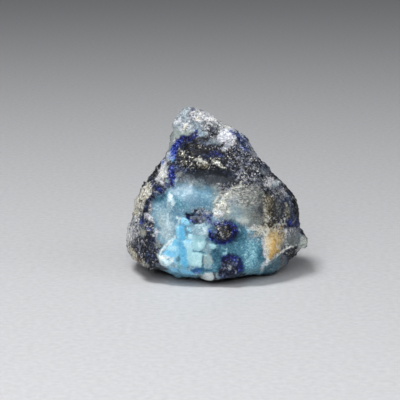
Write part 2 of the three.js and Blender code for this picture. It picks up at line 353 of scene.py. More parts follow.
# ---- The peak ---------------------------------------------------------------------------------
# The top knob is granular grey-white rock with a waxy blue-grey cheek, small navy specks and one
# yellow-green fleck. On its right a dark speckled hollow leads to bright white calcite.

lay("granite", -0.02, (-8.2, 27.6, 1.4), (-7, 31, 2.2), (-4.5, 31.8, 2.2), (-2, 31.2, 2), (0.6, 30.2, 1.6))
lay("frost", -0.2, (-7.9, 29.4, 1.2), (-6.2, 29, 1.1), (-4.6, 28.8, 0.7), soft=0.5)
lay("smoke", 0.12, (-7.8, 28.2, 0.9), (-5.6, 28.1, 0.7), (-4.5, 28, 0.4), soft=0.5)
lay("chalk", 0, (-7.9, 30.6, 0.6), (-6.4, 29.8, 1.2), (-5.6, 28.8, 0.6), share=0.25)
lay("smoke", 0, (-8.6, 27.9, 0.6), (-8.9, 26.6, 0.6), (-9.1, 25.4, 0.5))
lay("frost", -0.1, (-6, 32.6, 0.9), (-6.1, 31.4, 0.8), (-5.7, 30.8, 0.5), soft=0.35)
lay("night", 0.28, (-4.7, 32.7, 0.35), (-4.2, 32.6, 0.25), soft=0.3)
lay("night", 0.22, (-5.2, 31.9, 0.2), (-5.1, 31.2, 0.22), soft=0.3)
lay("granite", 0.12, (-4.4, 31.9, 0.6), (-3.8, 31, 0.6), (-4.6, 30.2, 0.5), share=0.7)
lay("granite", 0.05, (-2.6, 32.2, 0.5), (-1.2, 31.6, 0.7), (0.2, 30.8, 0.7))
# The palest granite across the crown is partly the rock's own colour and partly a painted highlight.
lay("granite", 0.22, (-3, 31.4, 0.8), (-2, 31.8, 0.8), (-1.2, 31.2, 0.9), (0.2, 30.6, 0.7), (1, 30, 0.4))
lay("chalk", -0.05, (-3.4, 31.3, 0.6), (-2.4, 31.2, 0.6), (-2, 32.1, 0.5), (-0.8, 31.4, 0.4), share=0.5)
lay("cream", 0, (-3.7, 31.2, 0.3), (-3.4, 31.9, 0.3), share=0.6)
lay("charcoal", 0.2, (-2.4, 31.4, 0.9), (-0.6, 30.8, 0.8), share=0.16)
lay("chalk", 0.05, (-3, 31.8, 0.6), (-1.2, 31.9, 0.5), (-0.4, 30.2, 0.5), share=0.35)
lay("ochre", 0.3, (-3.5, 31, 0.14), thin=0.5)
lay("frost", 0, (-7.7, 31.4, 0.5), (-7.2, 30.6, 0.6), soft=0.4, thin=0.6)
lay("chalk", 0.12, (-7.6, 30.8, 0.3), (-7.1, 30.4, 0.22), share=0.8)
lay("chalk", 0.05, (-6.1, 30.4, 0.3), (-6.4, 29.6, 0.3), (-5.4, 29.9, 0.25), share=0.6)
lay("cream", 0.1, (-5.95, 29.8, 0.2), (-5.85, 29, 0.24))
lay("ochre", 0.5, (-5.95, 29.6, 0.2), (-5.85, 29, 0.2), thin=0.25)
lay("olive", 0.1, (-5.6, 29.2, 0.12), (-6.05, 28.4, 0.14))
lay("frost", -0.3, (-4.6, 30.2, 0.4), (-3, 29.4, 0.7), (-2.6, 28.4, 0.8), (-3, 27.6, 0.4), soft=0.4)
lay("sky", -0.1, (-3.4, 28.6, 0.5), (-2.8, 27.8, 0.4), soft=0.4, thin=0.4)
lay("granite", -0.2, (-2.6, 29.2, 0.6), (-2, 28.7, 0.7), (-1.5, 28.2, 0.5), share=0.5)
lay("night", 0.3, (-4.6, 31.6, 0.7), (-3.6, 30.4, 0.6), share=0.14)
lay("charcoal", 0.1, (-2.6, 29.9, 0.5), (-1.8, 28.2, 0.4), (-3.2, 28.9, 0.4), share=0.3)
lay("chalk", -0.05, (-3.1, 29.3, 0.3), (-2.2, 29.2, 0.4), share=0.3)
lay("charcoal", -0.15, (-1.3, 29.6, 0.3), (-0.8, 29.2, 0.3))
lay("charcoal", -0.15, (-1.2, 29.5, 0.4), (-1, 28.8, 0.7), (0.1, 28.6, 0.85), (0.5, 28, 0.6),
    (-0.8, 28.1, 0.6), share=0.93)
lay("shade", 0.3, (-0.6, 29.2, 0.4), (0, 28.7, 0.6), soft=0.5, thin=0.6)
lay("granite", -0.2, (-1, 29, 0.5), (0.2, 28.6, 0.6), share=0.2)
lay("granite", 0, (0, 30.4, 0.4), (1, 29.6, 0.35), share=0.8)
lay("cream", 0.1, (1.4, 29.9, 0.2), (1.8, 29.5, 0.2))
lay("granite", -0.05, (-0.6, 27.5, 0.3), (0.3, 27.6, 0.35), share=0.7)
lay("chalk", 0, (1.3, 28.3, 0.6), (1.4, 27.5, 1.2), (2.4, 28.1, 1.05), (2.7, 29, 0.5), (3.4, 28.9, 0.4))
lay("chalk", 0.12, (1.2, 27.6, 0.7), (1.9, 28.2, 0.7), (0.7, 27.1, 0.4), soft=0.4)
lay("cream", 0.15, (2.3, 29.4, 0.16), (3, 29.2, 0.16))
lay("chalk", -0.1, (0.4, 26.6, 0.5), (1.4, 26.9, 0.5), (2.8, 27.1, 0.6), (2.6, 26.6, 0.5), (3.4, 27.4, 0.3),
    share=0.9)
lay("granite", 0.05, (3, 26.7, 0.4), (2.6, 25.9, 0.3), share=0.8)
lay("chalk", -0.1, (2.9, 25.9, 0.4), (2.2, 25.2, 0.5), (1.5, 24.5, 0.4), share=0.7)
lay("chalk", -0.12, (1.9, 25.9, 0.35), (1.7, 25.3, 0.5), (1.3, 24.7, 0.35), (2.2, 25.2, 0.3), share=0.9)
lay("granite", 0.1, (0.4, 25.3, 0.25), (0.8, 24.9, 0.3), (2.6, 25, 0.3), share=0.6)
lay("granite", 0.05, (-1.4, 25.5, 0.2), (-0.4, 25.5, 0.2), share=0.5)
lay("charcoal", -0.4, (0.5, 25.75, 0.1), (1, 25.9, 0.12), (1.35, 26.35, 0.1), (1.6, 26.6, 0.1),
    (2.1, 26.6, 0.08), soft=0.1)
lay("lazurite", 0, (2.5, 28.6, 0.25), (3, 28.2, 0.35), (3.4, 28.6, 0.2), share=0.5)
lay("night", 0.1, (2.9, 28.1, 0.3), share=0.6)
lay("night", 0, (3.7, 28.3, 0.5), (4.6, 27.8, 0.7), (5.1, 26.8, 0.8), (5.4, 25.6, 0.8), (5.6, 24.8, 0.6))
lay("frost", 0.2, (3.9, 28.2, 0.6), (4.6, 27.4, 0.7), (5, 26.4, 0.7), (5.4, 25.4, 0.6), share=0.4)
lay("night", 0.4, (4, 27.8, 0.6), (5, 26.6, 0.7), (5.5, 25.4, 0.6), share=0.4)
lay("lazurite", -0.3, (3.9, 27.9, 0.5), (4.9, 26.9, 0.5), (5.5, 25.3, 0.6), share=0.25)
lay("night", -0.15, (5.3, 26.8, 0.3), (5, 26.2, 0.3), share=0.7)
lay("night", -0.15, (3.95, 27.3, 0.2), (4.4, 27, 0.2), share=0.8)
lay("chalk", -0.3, (6.3, 26.3, 0.4), (6.9, 25.6, 0.5), (7.3, 24.4, 0.5), (7.5, 23.6, 0.4))
lay("granite", 0.05, (6.4, 25.8, 0.3), (7, 24.6, 0.4), share=0.5)
lay("charcoal", 0, (6.2, 25.6, 0.2), (6.9, 24.6, 0.2), (7.3, 24, 0.2), share=0.7)
lay("chalk", 0.05, (6.6, 23.6, 0.15), (7, 23.5, 0.2))


# ---- The ultramarine band ---------------------------------------------------------------------
# A vein of lazurite runs down the left of the peak and comes out again below as a short upright bar,
# most intense on the outer edge, where a little light blue afghanite borders it. A pale blue and
# lavender streak along that edge is a painted highlight.

lay("night", -0.15, (-4.6, 27, 0.6), (-6, 26.5, 0.8), (-7, 25.8, 0.7), (-7.3, 24.6, 0.5))
lay("night", -0.05, (-7.4, 23.6, 0.6), (-7.3, 22.6, 0.7), (-8.2, 22.4, 0.5))
lay("night", -0.1, (-3.9, 28.4, 0.3), (-4.2, 27.7, 0.5), (-5.2, 27.3, 0.6), (-6.6, 27.1, 0.6))
lay("lazurite", -0.42, (-4, 29.4, 0.12), (-3.9, 28.6, 0.25), (-3.9, 27.9, 0.38), (-5, 27.3, 0.45),
    (-6.5, 27.1, 0.5), share=0.7)
lay("lazurite", -0.25, (-6.4, 26.9, 0.5), (-7.3, 26.4, 0.6), (-7.8, 25.6, 0.55))
lay("lazurite", -0.05, (-7.9, 25.4, 0.5), (-8.3, 24.4, 0.6), (-8.3, 23.5, 0.5))
lay("night", 0, (-4.4, 27.5, 0.3), (-5.6, 27, 0.4), (-6.6, 26.6, 0.4), (-7.4, 25.6, 0.3), share=0.45)
lay("night", 0.15, (-8, 23.2, 0.4), (-8.4, 22.7, 0.3), share=0.5)
lay("lazurite", 0.3, (-8.5, 24.7, 0.3), (-8.7, 23.9, 0.4), (-8.4, 23.2, 0.4), share=0.55)
lay("azure", -0.1, (-8.6, 24.6, 0.25), (-8.7, 23.8, 0.3), (-8.4, 23.2, 0.3), share=0.35)
# A painted highlight: pale blue and lavender strokes along the band's outer edge.
lay("ice", 0.2, (-8.9, 24.3, 0.14), (-8.6, 23.4, 0.2), (-8.3, 23.8, 0.12), share=0.5)
lay("frost", 0.2, (-9, 24.6, 0.14), (-9.4, 23.8, 0.3), (-9.2, 23, 0.22))
lay("lazurite", 0.45, (-9.2, 24.2, 0.2), (-9, 23.4, 0.2), share=0.4)
lay("ice", 0.1, (-8.5, 22.9, 0.3), (-8, 22.7, 0.22), share=0.5)
lay("night", -0.05, (-8.4, 21.9, 0.5), (-7.4, 21.5, 0.6), (-6, 21.2, 0.4))
lay("lazurite", -0.27, (-8.4, 21.2, 0.6), (-8.3, 19.6, 0.62), (-8.2, 18.4, 0.4))
lay("frost", -0.3, (-7.7, 21, 0.1), (-7.6, 19.4, 0.1), (-7.8, 18.4, 0.1), thin=0.35)
lay("night", 0.1, (-8.6, 21, 0.5), (-8.4, 19.4, 0.5), share=0.28)
lay("lazurite", 0.25, (-8.4, 20.4, 0.12))
lay("night", 0.25, (-9.3, 19.2, 0.25), (-9.1, 18.2, 0.4), (-9.6, 17.6, 0.4), share=0.8)
lay("ice", -0.3, (-9.2, 19.4, 0.25), (-9, 18.6, 0.2), share=0.4)
lay("ice", -0.2, (-7.7, 19.6, 0.12), (-7.8, 18.6, 0.14))


# ---- The dark ledge ---------------------------------------------------------------------------
# Across the middle of the upper half lies black diopside, crowded with pyrite along its lower lip.
# Under the lip the rock is smooth and blue-grey, in the lip's shadow, and is painted darker there as painted
# shade.

lay("charcoal", -0.35, (-6, 24.4, 1.3), (-4.2, 25.2, 1.7), (-2.6, 26.4, 1.3), (-1.2, 24.9, 1.2),
    (1.2, 23.4, 1.3))
lay("charcoal", -0.2, (-6.6, 22.8, 1), (-3, 22.7, 1.3), (1.6, 22.3, 1.2))
lay("olive", -0.35, (-4.8, 25, 0.8), (-3, 25.4, 0.8), share=0.15)
lay("shade", 0, (-3.4, 27, 0.4), (-2.6, 26.4, 0.6), soft=0.4, thin=0.8)
lay("cream", -0.35, (-6.8, 25.3, 0.2), (-6.3, 24.9, 0.2), share=0.6)
lay("shade", 0.3, (-1.6, 26.4, 0.5), (-0.4, 26.5, 0.7), (0.3, 26.3, 0.5), soft=0.3)
lay("frost", -0.4, (-0.6, 27, 0.2), (0.2, 26.4, 0.3), soft=0.4, thin=0.5)
lay("charcoal", 0, (-1.8, 25.9, 0.3), (-0.6, 25.8, 0.3), share=0.5)
lay("charcoal", -0.1, (-1.5, 25.5, 0.4), (0, 25.2, 0.5), (0.6, 25.1, 0.4))
lay("night", -0.05, (-2.2, 23.5, 0.35), (-1.2, 24.1, 0.5), (0, 24.4, 0.5), (1, 23.9, 0.4))
lay("lazurite", -0.42, (-1, 24.1, 0.3), (0.2, 24.5, 0.35), (0.8, 24.1, 0.25), share=0.6)
lay("charcoal", 0, (2.6, 24.4, 1), (3.6, 23.2, 1.2), (2.6, 21.8, 0.9))
lay("night", 0.05, (-6.4, 25.6, 0.6), (-5, 26.2, 0.6), (-4.4, 24.8, 0.6), (-2.6, 24.4, 0.6), share=0.35)
lay("night", 0.2, (-5.8, 25.4, 0.7), (-3.6, 25.2, 0.9), (-2.4, 26.4, 0.6), soft=0.6, thin=0.3)
lay("charcoal", -0.4, (-5.6, 25.2, 0.8), (-3.8, 25.2, 1), (-2.4, 25.4, 0.8), (-1.4, 24.8, 0.6), share=0.4)
lay("pyrite", -0.1, (-6.8, 24.3, 0.4), (-6.2, 24, 0.4), share=0.4)
lay("pyrite", -0.15, (-5.6, 23.9, 0.5), (-4.6, 23.4, 0.5), share=0.25)
lay("pyrite", -0.1, (-6.2, 22.6, 0.7), (-4.6, 22.4, 0.7), share=0.25)
lay("pyrite", 0.25, (-3.9, 23.2, 0.3), (-3.2, 23.1, 0.45), (-2.4, 22.7, 0.4), (-1.8, 22.6, 0.3), share=0.9)
lay("cream", 0, (-3.7, 23.2, 0.25), (-3.1, 23, 0.25), (-2.4, 22.6, 0.3), (-1.8, 22.6, 0.2), share=0.7)
lay("olive", 0.1, (-3.3, 22.2, 0.45), (-2.8, 21.9, 0.4), (-1.9, 22, 0.4), share=0.8)
lay("pyrite", 0, (-3.5, 21.9, 0.3), (-1.6, 21.7, 0.3), share=0.4)
lay("pyrite", 0.22, (-0.9, 23.3, 0.25), (-0.5, 22.7, 0.4), (0.3, 22.4, 0.4), share=0.9)
lay("cream", 0.05, (-0.6, 22.8, 0.3), (0.2, 22.4, 0.3), (0.9, 21.9, 0.2), share=0.65)
lay("pyrite", 0.2, (0.5, 22, 0.25), (1, 21.7, 0.28), (1.5, 21.5, 0.2), share=0.9)
lay("charcoal", -0.3, (-1.2, 23.2, 0.25), (-1.4, 22.4, 0.3), share=0.8)
lay("night", 0, (-5.7, 21.2, 0.35), (-4.6, 21.2, 0.4), (-3.3, 21.1, 0.35), share=0.6)
lay("charcoal", 0.4, (-5.9, 21.2, 0.08), (-5.4, 21.7, 0.08), (-4.5, 21.7, 0.08), (-4, 21.9, 0.06))
# Painted shade under the lip: dark blue-grey strokes, darkest just below it.
lay("shade", -0.15, (-3.4, 20.9, 0.35), (-1, 20.8, 0.5), (2, 20.8, 0.6), (3.8, 20.4, 0.5))
lay("shade", -0.32, (-3.2, 20.1, 0.6), (-1, 19.8, 1), (1.5, 19.8, 1.1), (3.4, 19.4, 0.6), soft=0.5)
lay("night", -0.1, (1.2, 20.6, 0.4), (3.2, 20.2, 0.6), soft=0.5, thin=0.5)


# ---- The right slope --------------------------------------------------------------------------
# Sugary dark rock with many pale crystal faces, darker along the skyline, with one grey clear patch.

lay("charcoal", 0.06, (5, 23.4, 1.4), (7, 21, 2.6), (9.5, 19.4, 2.4), (12.2, 17.4, 1.8))
lay("charcoal", 0, (4.4, 21.2, 1), (5.5, 19.6, 1.2), (7.5, 18.6, 1.2), (10, 17.6, 1.2))
lay("granite", -0.25, (4.6, 22.6, 1), (6, 23, 0.7), share=0.4)
lay("charcoal", -0.25, (6.4, 22.4, 0.5), (7, 20.6, 0.6), (8.6, 20.2, 0.5), (5.2, 21, 0.4), share=0.6)
lay("night", 0, (4.2, 24, 0.5), (6.6, 21.6, 0.6), (8.4, 20.6, 0.8), share=0.25)
lay("granite", -0.3, (6.4, 20.6, 1.8), (8.4, 19.6, 1.4), share=0.16)
lay("charcoal", -0.2, (3.2, 25.4, 0.7), (3.8, 24.8, 0.8), (4.6, 24.2, 0.5), share=0.8)
lay("night", 0.4, (3, 25.2, 0.7), (4.6, 24.4, 0.8), (5.8, 23.8, 0.5), share=0.2)
lay("charcoal", -0.35, (4.9, 22, 0.15), (6.2, 21, 0.3), (7.4, 20.2, 0.2), soft=0.3, thin=0.75)
lay("charcoal", -0.35, (2.8, 23.6, 0.2), (3.8, 22.6, 0.3), (4.2, 21.6, 0.2), soft=0.3, thin=0.7)
lay("frost", -0.2, (7.9, 21.7, 0.1), (9, 20.7, 0.16), (9.4, 20, 0.12), soft=0.2, thin=0.7)
lay("shade", 0.35, (8.8, 21.2, 0.6), (9.6, 21.2, 0.4), soft=0.4, thin=0.6)
lay("granite", 0.42, (10.2, 19.5, 0.5), (9.6, 18.8, 0.7), (10.9, 18.6, 0.8), (11.4, 18.8, 0.5), soft=0.4)
lay("charcoal", 0.2, (9.2, 19, 0.5), (11.6, 18.2, 0.7), share=0.3)
lay("chalk", 0, (10, 19.4, 0.5), (9.8, 18.8, 0.4), (11.2, 18.9, 0.4), share=0.5)
lay("frost", -0.3, (10.8, 18.3, 0.5), (11.5, 18.6, 0.4), soft=0.4)
lay("charcoal", 0, (10.6, 18.9, 0.1), (10.3, 18.2, 0.12), thin=0.7)
lay("chalk", 0.1, (9.6, 19.8, 0.14), (10.1, 19.4, 0.3), (9.4, 18.7, 0.16))
lay("frost", 0.1, (10.8, 19, 0.35), (11.4, 18.7, 0.3), soft=0.35, thin=0.6)
lay("charcoal", 0.1, (12, 17.6, 0.9), (12.8, 16.7, 0.6))
lay("chalk", 0.12, (12.3, 17.45, 0.1), (13.1, 16.75, 0.12))
lay("chalk", -0.1, (10.15, 18.1, 0.08), (10.2, 17.7, 0.08))
lay("chalk", -0.1, (6.9, 22, 0.12), (7, 21.5, 0.2), share=0.8)
lay("charcoal", -0.3, (10.5, 21.4, 0.25), (11.3, 20.4, 0.25), (12.6, 19.1, 0.3), (13.5, 17.8, 0.3),
    (13.7, 17.1, 0.3))
lay("night", -0.15, (13.6, 17, 0.45), (14.6, 15.9, 0.5))
lay("granite", -0.05, (10.4, 17.4, 0.7), (11.6, 16.8, 0.7), (12.6, 16.2, 0.4), share=0.3)


# ---- The blue heart ---------------------------------------------------------------------------
# Massive pale blue afghanite, waxy and a little clear, deepest blue in the middle and paler and
# frosted on the left, with a line of white flecks down it.

# Down from the ledge the strokes grade from dark blue-grey to blue: partly the stone's tone, partly painted
# shade under the ledge.
lay("shade", 0.1, (-6.8, 20.2, 0.6), (-5.2, 19.9, 0.9), (-3.4, 19.6, 1), (-1.6, 19.4, 0.9), soft=0.6)
lay("shade", -0.1, (-4.6, 20.6, 0.4), (-3, 20.3, 0.5), (-1.4, 20, 0.6), soft=0.6)
lay("smoke", -0.1, (-7.3, 20.2, 0.25), (-6.8, 20.6, 0.25), soft=0.4, thin=0.8)
lay("shade", 0.32, (-7, 19, 0.5), (-5.4, 18.9, 0.6), (-3, 18.7, 0.6), (-0.8, 18.1, 0.5), soft=0.6)
lay("shade", 0.36, (-7.2, 18.4, 0.4), (-5.4, 18.3, 0.5), (-3, 18.1, 0.5), soft=0.8, thin=0.6)
lay("shade", 0.1, (-3.4, 19.4, 0.4), (-1.6, 18.9, 0.6), (-0.5, 18.5, 0.5), soft=0.6)
lay("shade", -0.14, (-2, 19.8, 0.6), (-0.4, 19.3, 0.7), (1, 19.2, 0.7), soft=0.6)
lay("sky", -0.42, (-7, 18, 0.7), (-5, 18, 0.7), (-2.8, 17.8, 0.7), (-1, 17.2, 0.7), soft=0.8)
lay("smoke", -0.3, (-4.6, 18.6, 0.5), (-3.2, 18.2, 0.6), (-2.2, 17.5, 0.4), soft=0.6, thin=0.6)
lay("sky", 0.06, (-6.6, 16.8, 1.2), (-4.2, 16.7, 1.2), (-2.2, 16.4, 1), (-0.8, 16, 0.6), soft=0.8)
lay("sky", -0.15, (-4.8, 15.6, 0.8), (-3.4, 15.2, 1), (-2.4, 15.2, 0.7), soft=0.6)
lay("teal", 0.15, (-7.2, 15, 0.7), (-6.8, 13.8, 0.8), (-5.6, 14, 0.6), soft=0.7)
lay("sky", -0.05, (-7.3, 13.4, 0.7), (-6.2, 13.4, 0.5), (-2.4, 14.2, 0.8), (-1, 14.4, 0.7), soft=0.5)
lay("ice", -0.25, (-5, 13.9, 0.3), (-3.4, 14, 0.5), (-2, 14, 0.4), share=0.5)
lay("smoke", 0.05, (-0.4, 17.8, 0.5), (-0.2, 16.8, 0.5), (0, 15.2, 0.5), (-0.5, 14.2, 0.4), soft=0.9,
    thin=0.8)
lay("sky", 0.1, (-10.8, 14.6, 0.9), (-10.6, 12.6, 1.5), (-10.4, 10.4, 1.3), (-9.8, 8.6, 1.2), soft=0.5)
lay("ice", 0.08, (-10.2, 13, 0.9), (-9.6, 11.6, 1.4), (-9.4, 9.8, 1.3), (-9, 8.6, 0.9), soft=0.9, thin=0.9)
lay("smoke", 0.1, (-10.8, 12, 0.5), (-10.2, 10.4, 0.7), (-9.4, 9, 0.5), soft=0.8, thin=0.4)
lay("ice", 0.2, (-9, 14, 0.14), (-9, 12.6, 0.16), (-9.2, 11, 0.3), soft=0.4, thin=0.8)
lay("ice", 0.15, (-8.4, 10.4, 0.5), (-9.4, 9.2, 0.8), soft=0.8, thin=0.5)
lay("snow", -0.2, (-9.4, 11.4, 1.2), (-9.2, 9.4, 0.9), share=0.12)
lay("sky", -0.1, (-8.2, 13, 0.4), (-8, 12, 0.4), soft=0.6, thin=0.6)
lay("teal", 0, (-10.6, 16.2, 0.7), (-9.8, 16.6, 0.6), (-9.3, 17.4, 0.4), soft=0.4)
lay("sky", -0.2, (-7.9, 17.6, 0.4), (-8.8, 17.4, 0.4), soft=0.5)
lay("sky", -0.1, (-11.5, 11.6, 0.4), (-11.2, 10.4, 0.5), (-11, 8.8, 0.4), soft=0.4)
lay("snow", 0.2, (-8.7, 16.5, 0.5), (-8.5, 15.8, 0.52))
lay("snow", 0.1, (-9, 15.4, 0.42), (-8.4, 15, 0.42), (-8.4, 14.3, 0.28), share=0.9)
lay("ice", 0, (-9.1, 15, 0.4), (-8.8, 14.2, 0.4), share=0.6)
lay("ice", 0.3, (-8.3, 14.1, 0.12), (-8.1, 13.5, 0.1), share=0.8)
lay("ice", 0.15, (-9.5, 17.2, 0.09), (-9.3, 17.6, 0.09))


# ---- The fibrous ridge and the clear hollow ---------------------------------------------------
# To the right of the blue a cream ridge of fibres climbs to the slope, and beyond it lies a smooth
# grey-green hollow of clear afghanite, which darkens towards the brown column on its right.

lay("fibre", -0.14, (4.2, 17.6, 1), (6.4, 17, 1.1), (8.4, 16.4, 0.9))
lay("fibre", -0.1, (3.2, 16.4, 1.2), (5.4, 15.6, 1.3), (7.6, 15.4, 0.9))
lay("fibre", 0.1, (3.2, 17, 0.5), (2.6, 16.2, 0.6), (2.4, 15, 0.6), soft=0.6)
lay("fibre", -0.12, (4.6, 17.6, 0.6), (5.8, 17.4, 0.6), (6.4, 16.6, 0.5), soft=0.8, thin=0.8)
lay("charcoal", 0.1, (4.4, 18, 0.4), (6.2, 17.6, 0.7), (8.2, 17.2, 0.6), share=0.22)
lay("fibre", -0.2, (7.4, 17.8, 0.6), (8.4, 16.4, 0.5), (8.2, 15.2, 0.4), soft=0.6)
lay("frost", -0.2, (2.8, 15.2, 0.6), (3.4, 15.8, 0.5), (3.6, 14.8, 0.4), soft=0.7, thin=0.7)
lay("smoke", 0.25, (2.6, 13.8, 0.8), (4.4, 13.2, 1.2), (5.6, 12.2, 1), (4.6, 14.4, 0.5), soft=0.7)
lay("sky", 0, (2.8, 12.8, 0.6), (4.2, 12.9, 0.7), (3.2, 14, 0.5), soft=0.8, thin=0.5)
lay("smoke", -0.05, (6.2, 13.4, 0.8), (7.2, 12.6, 1.1), (7, 11.6, 0.6), soft=0.7)
lay("shade", 0.35, (7.4, 13.8, 0.8), (8.2, 13.4, 0.9), (8.3, 12.4, 0.7), soft=0.9)
lay("olive", 0.1, (6.8, 12.8, 0.6), (7.8, 12.2, 0.9), (8.4, 13.8, 0.7), soft=0.8, thin=0.3)
lay("shade", 0.15, (8, 14.4, 0.5), (8.2, 13, 0.5), soft=0.8, thin=0.4)
lay("shade", -0.1, (8.5, 14.8, 0.3), (8.6, 13.2, 0.35), soft=0.5, thin=0.8)
lay("charcoal", 0, (0.7, 18.3, 0.4), (1.8, 18, 0.6), (3, 18.5, 0.35), share=0.8)
lay("granite", -0.15, (0.4, 18.5, 0.4), (1.4, 17.7, 0.6), (0.6, 17, 0.5), share=0.4)
lay("fibre", -0.1, (0.9, 17.2, 0.5), (0.6, 16.4, 0.5), (0.2, 15.4, 0.4), share=0.6)
lay("cream", 0, (4.6, 18.6, 0.08), (4.1, 18.1, 0.12))
lay("cream", -0.1, (4, 18, 0.1), (3.2, 17.8, 0.2), (2.4, 17.2, 0.25), share=0.8)
lay("cream", -0.05, (2.5, 17.2, 0.3), (1.9, 16.6, 0.35), (1.3, 16, 0.4), share=0.85)
lay("chalk", 0.1, (1.3, 15.9, 0.25), (1.1, 15.4, 0.28), share=0.75)
lay("cream", -0.12, (1.2, 15.4, 0.5), (1.3, 14.6, 0.7), (0.9, 14.1, 0.7), (1.9, 13.8, 0.5))
lay("cream", 0.12, (0.7, 15.4, 0.4), (0.9, 14.2, 0.6), (1.9, 13.8, 0.4), share=0.4)
lay("olive", 0.25, (1.5, 14.6, 0.8), share=0.12)
lay("fibre", 0, (-0.2, 15.4, 0.4), (0.1, 14.4, 0.5), share=0.6)
lay("cream", 0.1, (0.2, 14.8, 0.35), (0.3, 14, 0.45), (2.4, 13.3, 0.35), share=0.8)
lay("cream", 0.1, (-0.2, 15.2, 0.12), (0.2, 16.4, 0.1), (-0.4, 16.9, 0.08), share=0.8)
lay("frost", 0.3, (-0.7, 13.3, 0.5), (0.2, 13.5, 0.6), (1.2, 13.4, 0.4), share=0.85)
lay("chalk", 0.28, (-0.5, 13, 0.4), (0.1, 12.7, 0.6), (0.8, 12.8, 0.35))
lay("cream", 0.05, (-0.6, 13.9, 0.2), (0.2, 13.6, 0.3), (0.2, 12.2, 0.3), share=0.7)
lay("cream", 0.1, (4.4, 18.4, 0.12), (4.8, 19, 0.12))
lay("chalk", -0.1, (5.2, 20.1, 0.12), (5.5, 19.3, 0.12), share=0.8)
lay("chalk", -0.15, (3.9, 19.5, 0.12), (4.1, 19.9, 0.1))
lay("charcoal", -0.3, (9.3, 16.9, 0.25), (9.6, 17.2, 0.18))
lay("cream", 0, (8.9, 16.1, 0.09), (9.6, 16.7, 0.09))


# ---- The brown column and the dark lump -------------------------------------------------------
# Weathered brown rock in an upright run of small pale grains, then one smooth dark swelling, a
# second thin olive run, and navy-black rock on the skyline.

lay("olive", -0.08, (9.6, 16.4, 0.4), (9.9, 15, 0.9), (9.9, 13, 1), (10, 11, 1))
lay("olive", 0.05, (9.2, 15.6, 0.3), (9.2, 14.2, 0.4), (9.5, 12.8, 0.5), (9.5, 11.2, 0.4))
lay("cream", -0.2, (9.1, 15.3, 0.25), (9.1, 13.8, 0.3), (9.6, 12.4, 0.4), (9.4, 11, 0.35), share=0.3)
lay("olive", -0.3, (10.5, 15.6, 0.4), (10.5, 14, 0.4), (10.6, 12.2, 0.4), (10.4, 11, 0.4), share=0.7)
lay("cream", 0.1, (9.7, 12.6, 0.14), (9.8, 12.2, 0.12))
lay("cream", 0.05, (10.2, 13.2, 0.12))
lay("cream", 0.1, (9.4, 10.9, 0.15))
lay("shade", -0.2, (11.6, 15.4, 0.8), (11.6, 14.2, 0.95), (11.6, 12.8, 0.8))
lay("shade", 0.02, (11.8, 15.2, 0.7), (11.8, 13.2, 0.6), soft=0.4)
lay("olive", -0.3, (11.6, 14.6, 0.9), (11.6, 13.2, 0.7), soft=0.5, thin=0.22)
lay("night", 0.1, (12.1, 15.6, 0.5), (12.2, 14.9, 0.4), soft=0.5, thin=0.5)
lay("charcoal", 0, (10.9, 12.2, 0.4), (11.4, 11.6, 0.5), (12.2, 11.9, 0.3), share=0.6)
lay("night", -0.05, (13.8, 16.4, 0.7), (14.4, 14.8, 0.8), (14.7, 13.2, 0.8), (14.6, 12.2, 0.7))
lay("olive", -0.02, (13.2, 15, 0.2), (13.3, 13.8, 0.32), (13.3, 12.5, 0.35))
lay("smoke", -0.2, (13.3, 14, 0.3), (13.4, 12.8, 0.3), soft=0.4, thin=0.35)
lay("cream", -0.15, (13.15, 14.5, 0.12))
lay("olive", -0.15, (13.1, 13.6, 0.25), (13.3, 12.8, 0.25), share=0.6)
lay("charcoal", -0.3, (14.6, 16, 0.4), (15, 14.4, 0.5), (15.2, 13.2, 0.5), soft=0.4, thin=0.8)
lay("frost", -0.1, (13.2, 16.6, 0.4), (14, 15.2, 0.4), (14.2, 13.8, 0.3), share=0.2)
lay("charcoal", -0.35, (14, 16.8, 0.2), (15, 15.2, 0.25), (15.5, 13.6, 0.3), (15.4, 12.8, 0.2))
lay("lazurite", -0.4, (13.5, 11.4, 0.45), (14.4, 11, 0.6), (15.1, 11.4, 0.5), share=0.55)
lay("chalk", -0.25, (14.2, 11.3, 0.08), (14.9, 11.8, 0.06))
lay("night", -0.1, (13.3, 10.3, 0.5), (13.7, 9.9, 0.4))
lay("cream", -0.05, (12.8, 12.1, 0.25), (12.4, 11.5, 0.25), (12.9, 11.1, 0.28), (12, 10.8, 0.3), share=0.85)
lay("ochre", 0, (11.7, 10.6, 0.35), (12.5, 10.7, 0.3), share=0.5)
lay("cream", 0, (11.1, 10.9, 0.15), (11.9, 11.1, 0.1))


# ---- The rusty stain and the right foot -------------------------------------------------------
# Iron has stained the calcite orange under the brown column. White fibres edge it against the teal.
# The foot to its right is greyish and clear, with a sharp pale edge, a dark underside, painted near black
# under the edge as painted shade, and a blunt end.

lay("granite", -0.22, (13.4, 9.3, 0.9), (14.4, 8.6, 1.2), (13.2, 7.8, 0.9), (14.2, 7.4, 0.6), soft=0.4)
lay("smoke", -0.3, (14, 8, 0.9), (15, 8.4, 0.7), (14.4, 7.3, 0.4), soft=0.5, thin=0.8)
lay("shade", 0.4, (15.2, 9.6, 0.5), (15.7, 8.6, 0.5), (15.4, 7.8, 0.4), soft=0.5)
lay("smoke", 0.1, (16.4, 8.4, 0.6), (16.7, 7.6, 0.7), (16, 7, 0.6), (15.4, 6.4, 0.5))
lay("cream", -0.3, (16.4, 8.2, 0.5), (16.4, 7.2, 0.5), (15.6, 6.4, 0.4), soft=0.5, thin=0.5)
lay("cream", -0.2, (16.6, 8.6, 0.3), (16.9, 8, 0.3), soft=0.4)
lay("night", -0.2, (16.3, 10.1, 0.4), (16.3, 9.4, 0.4))
lay("night", 0.05, (15.4, 10.4, 0.35), share=0.7)
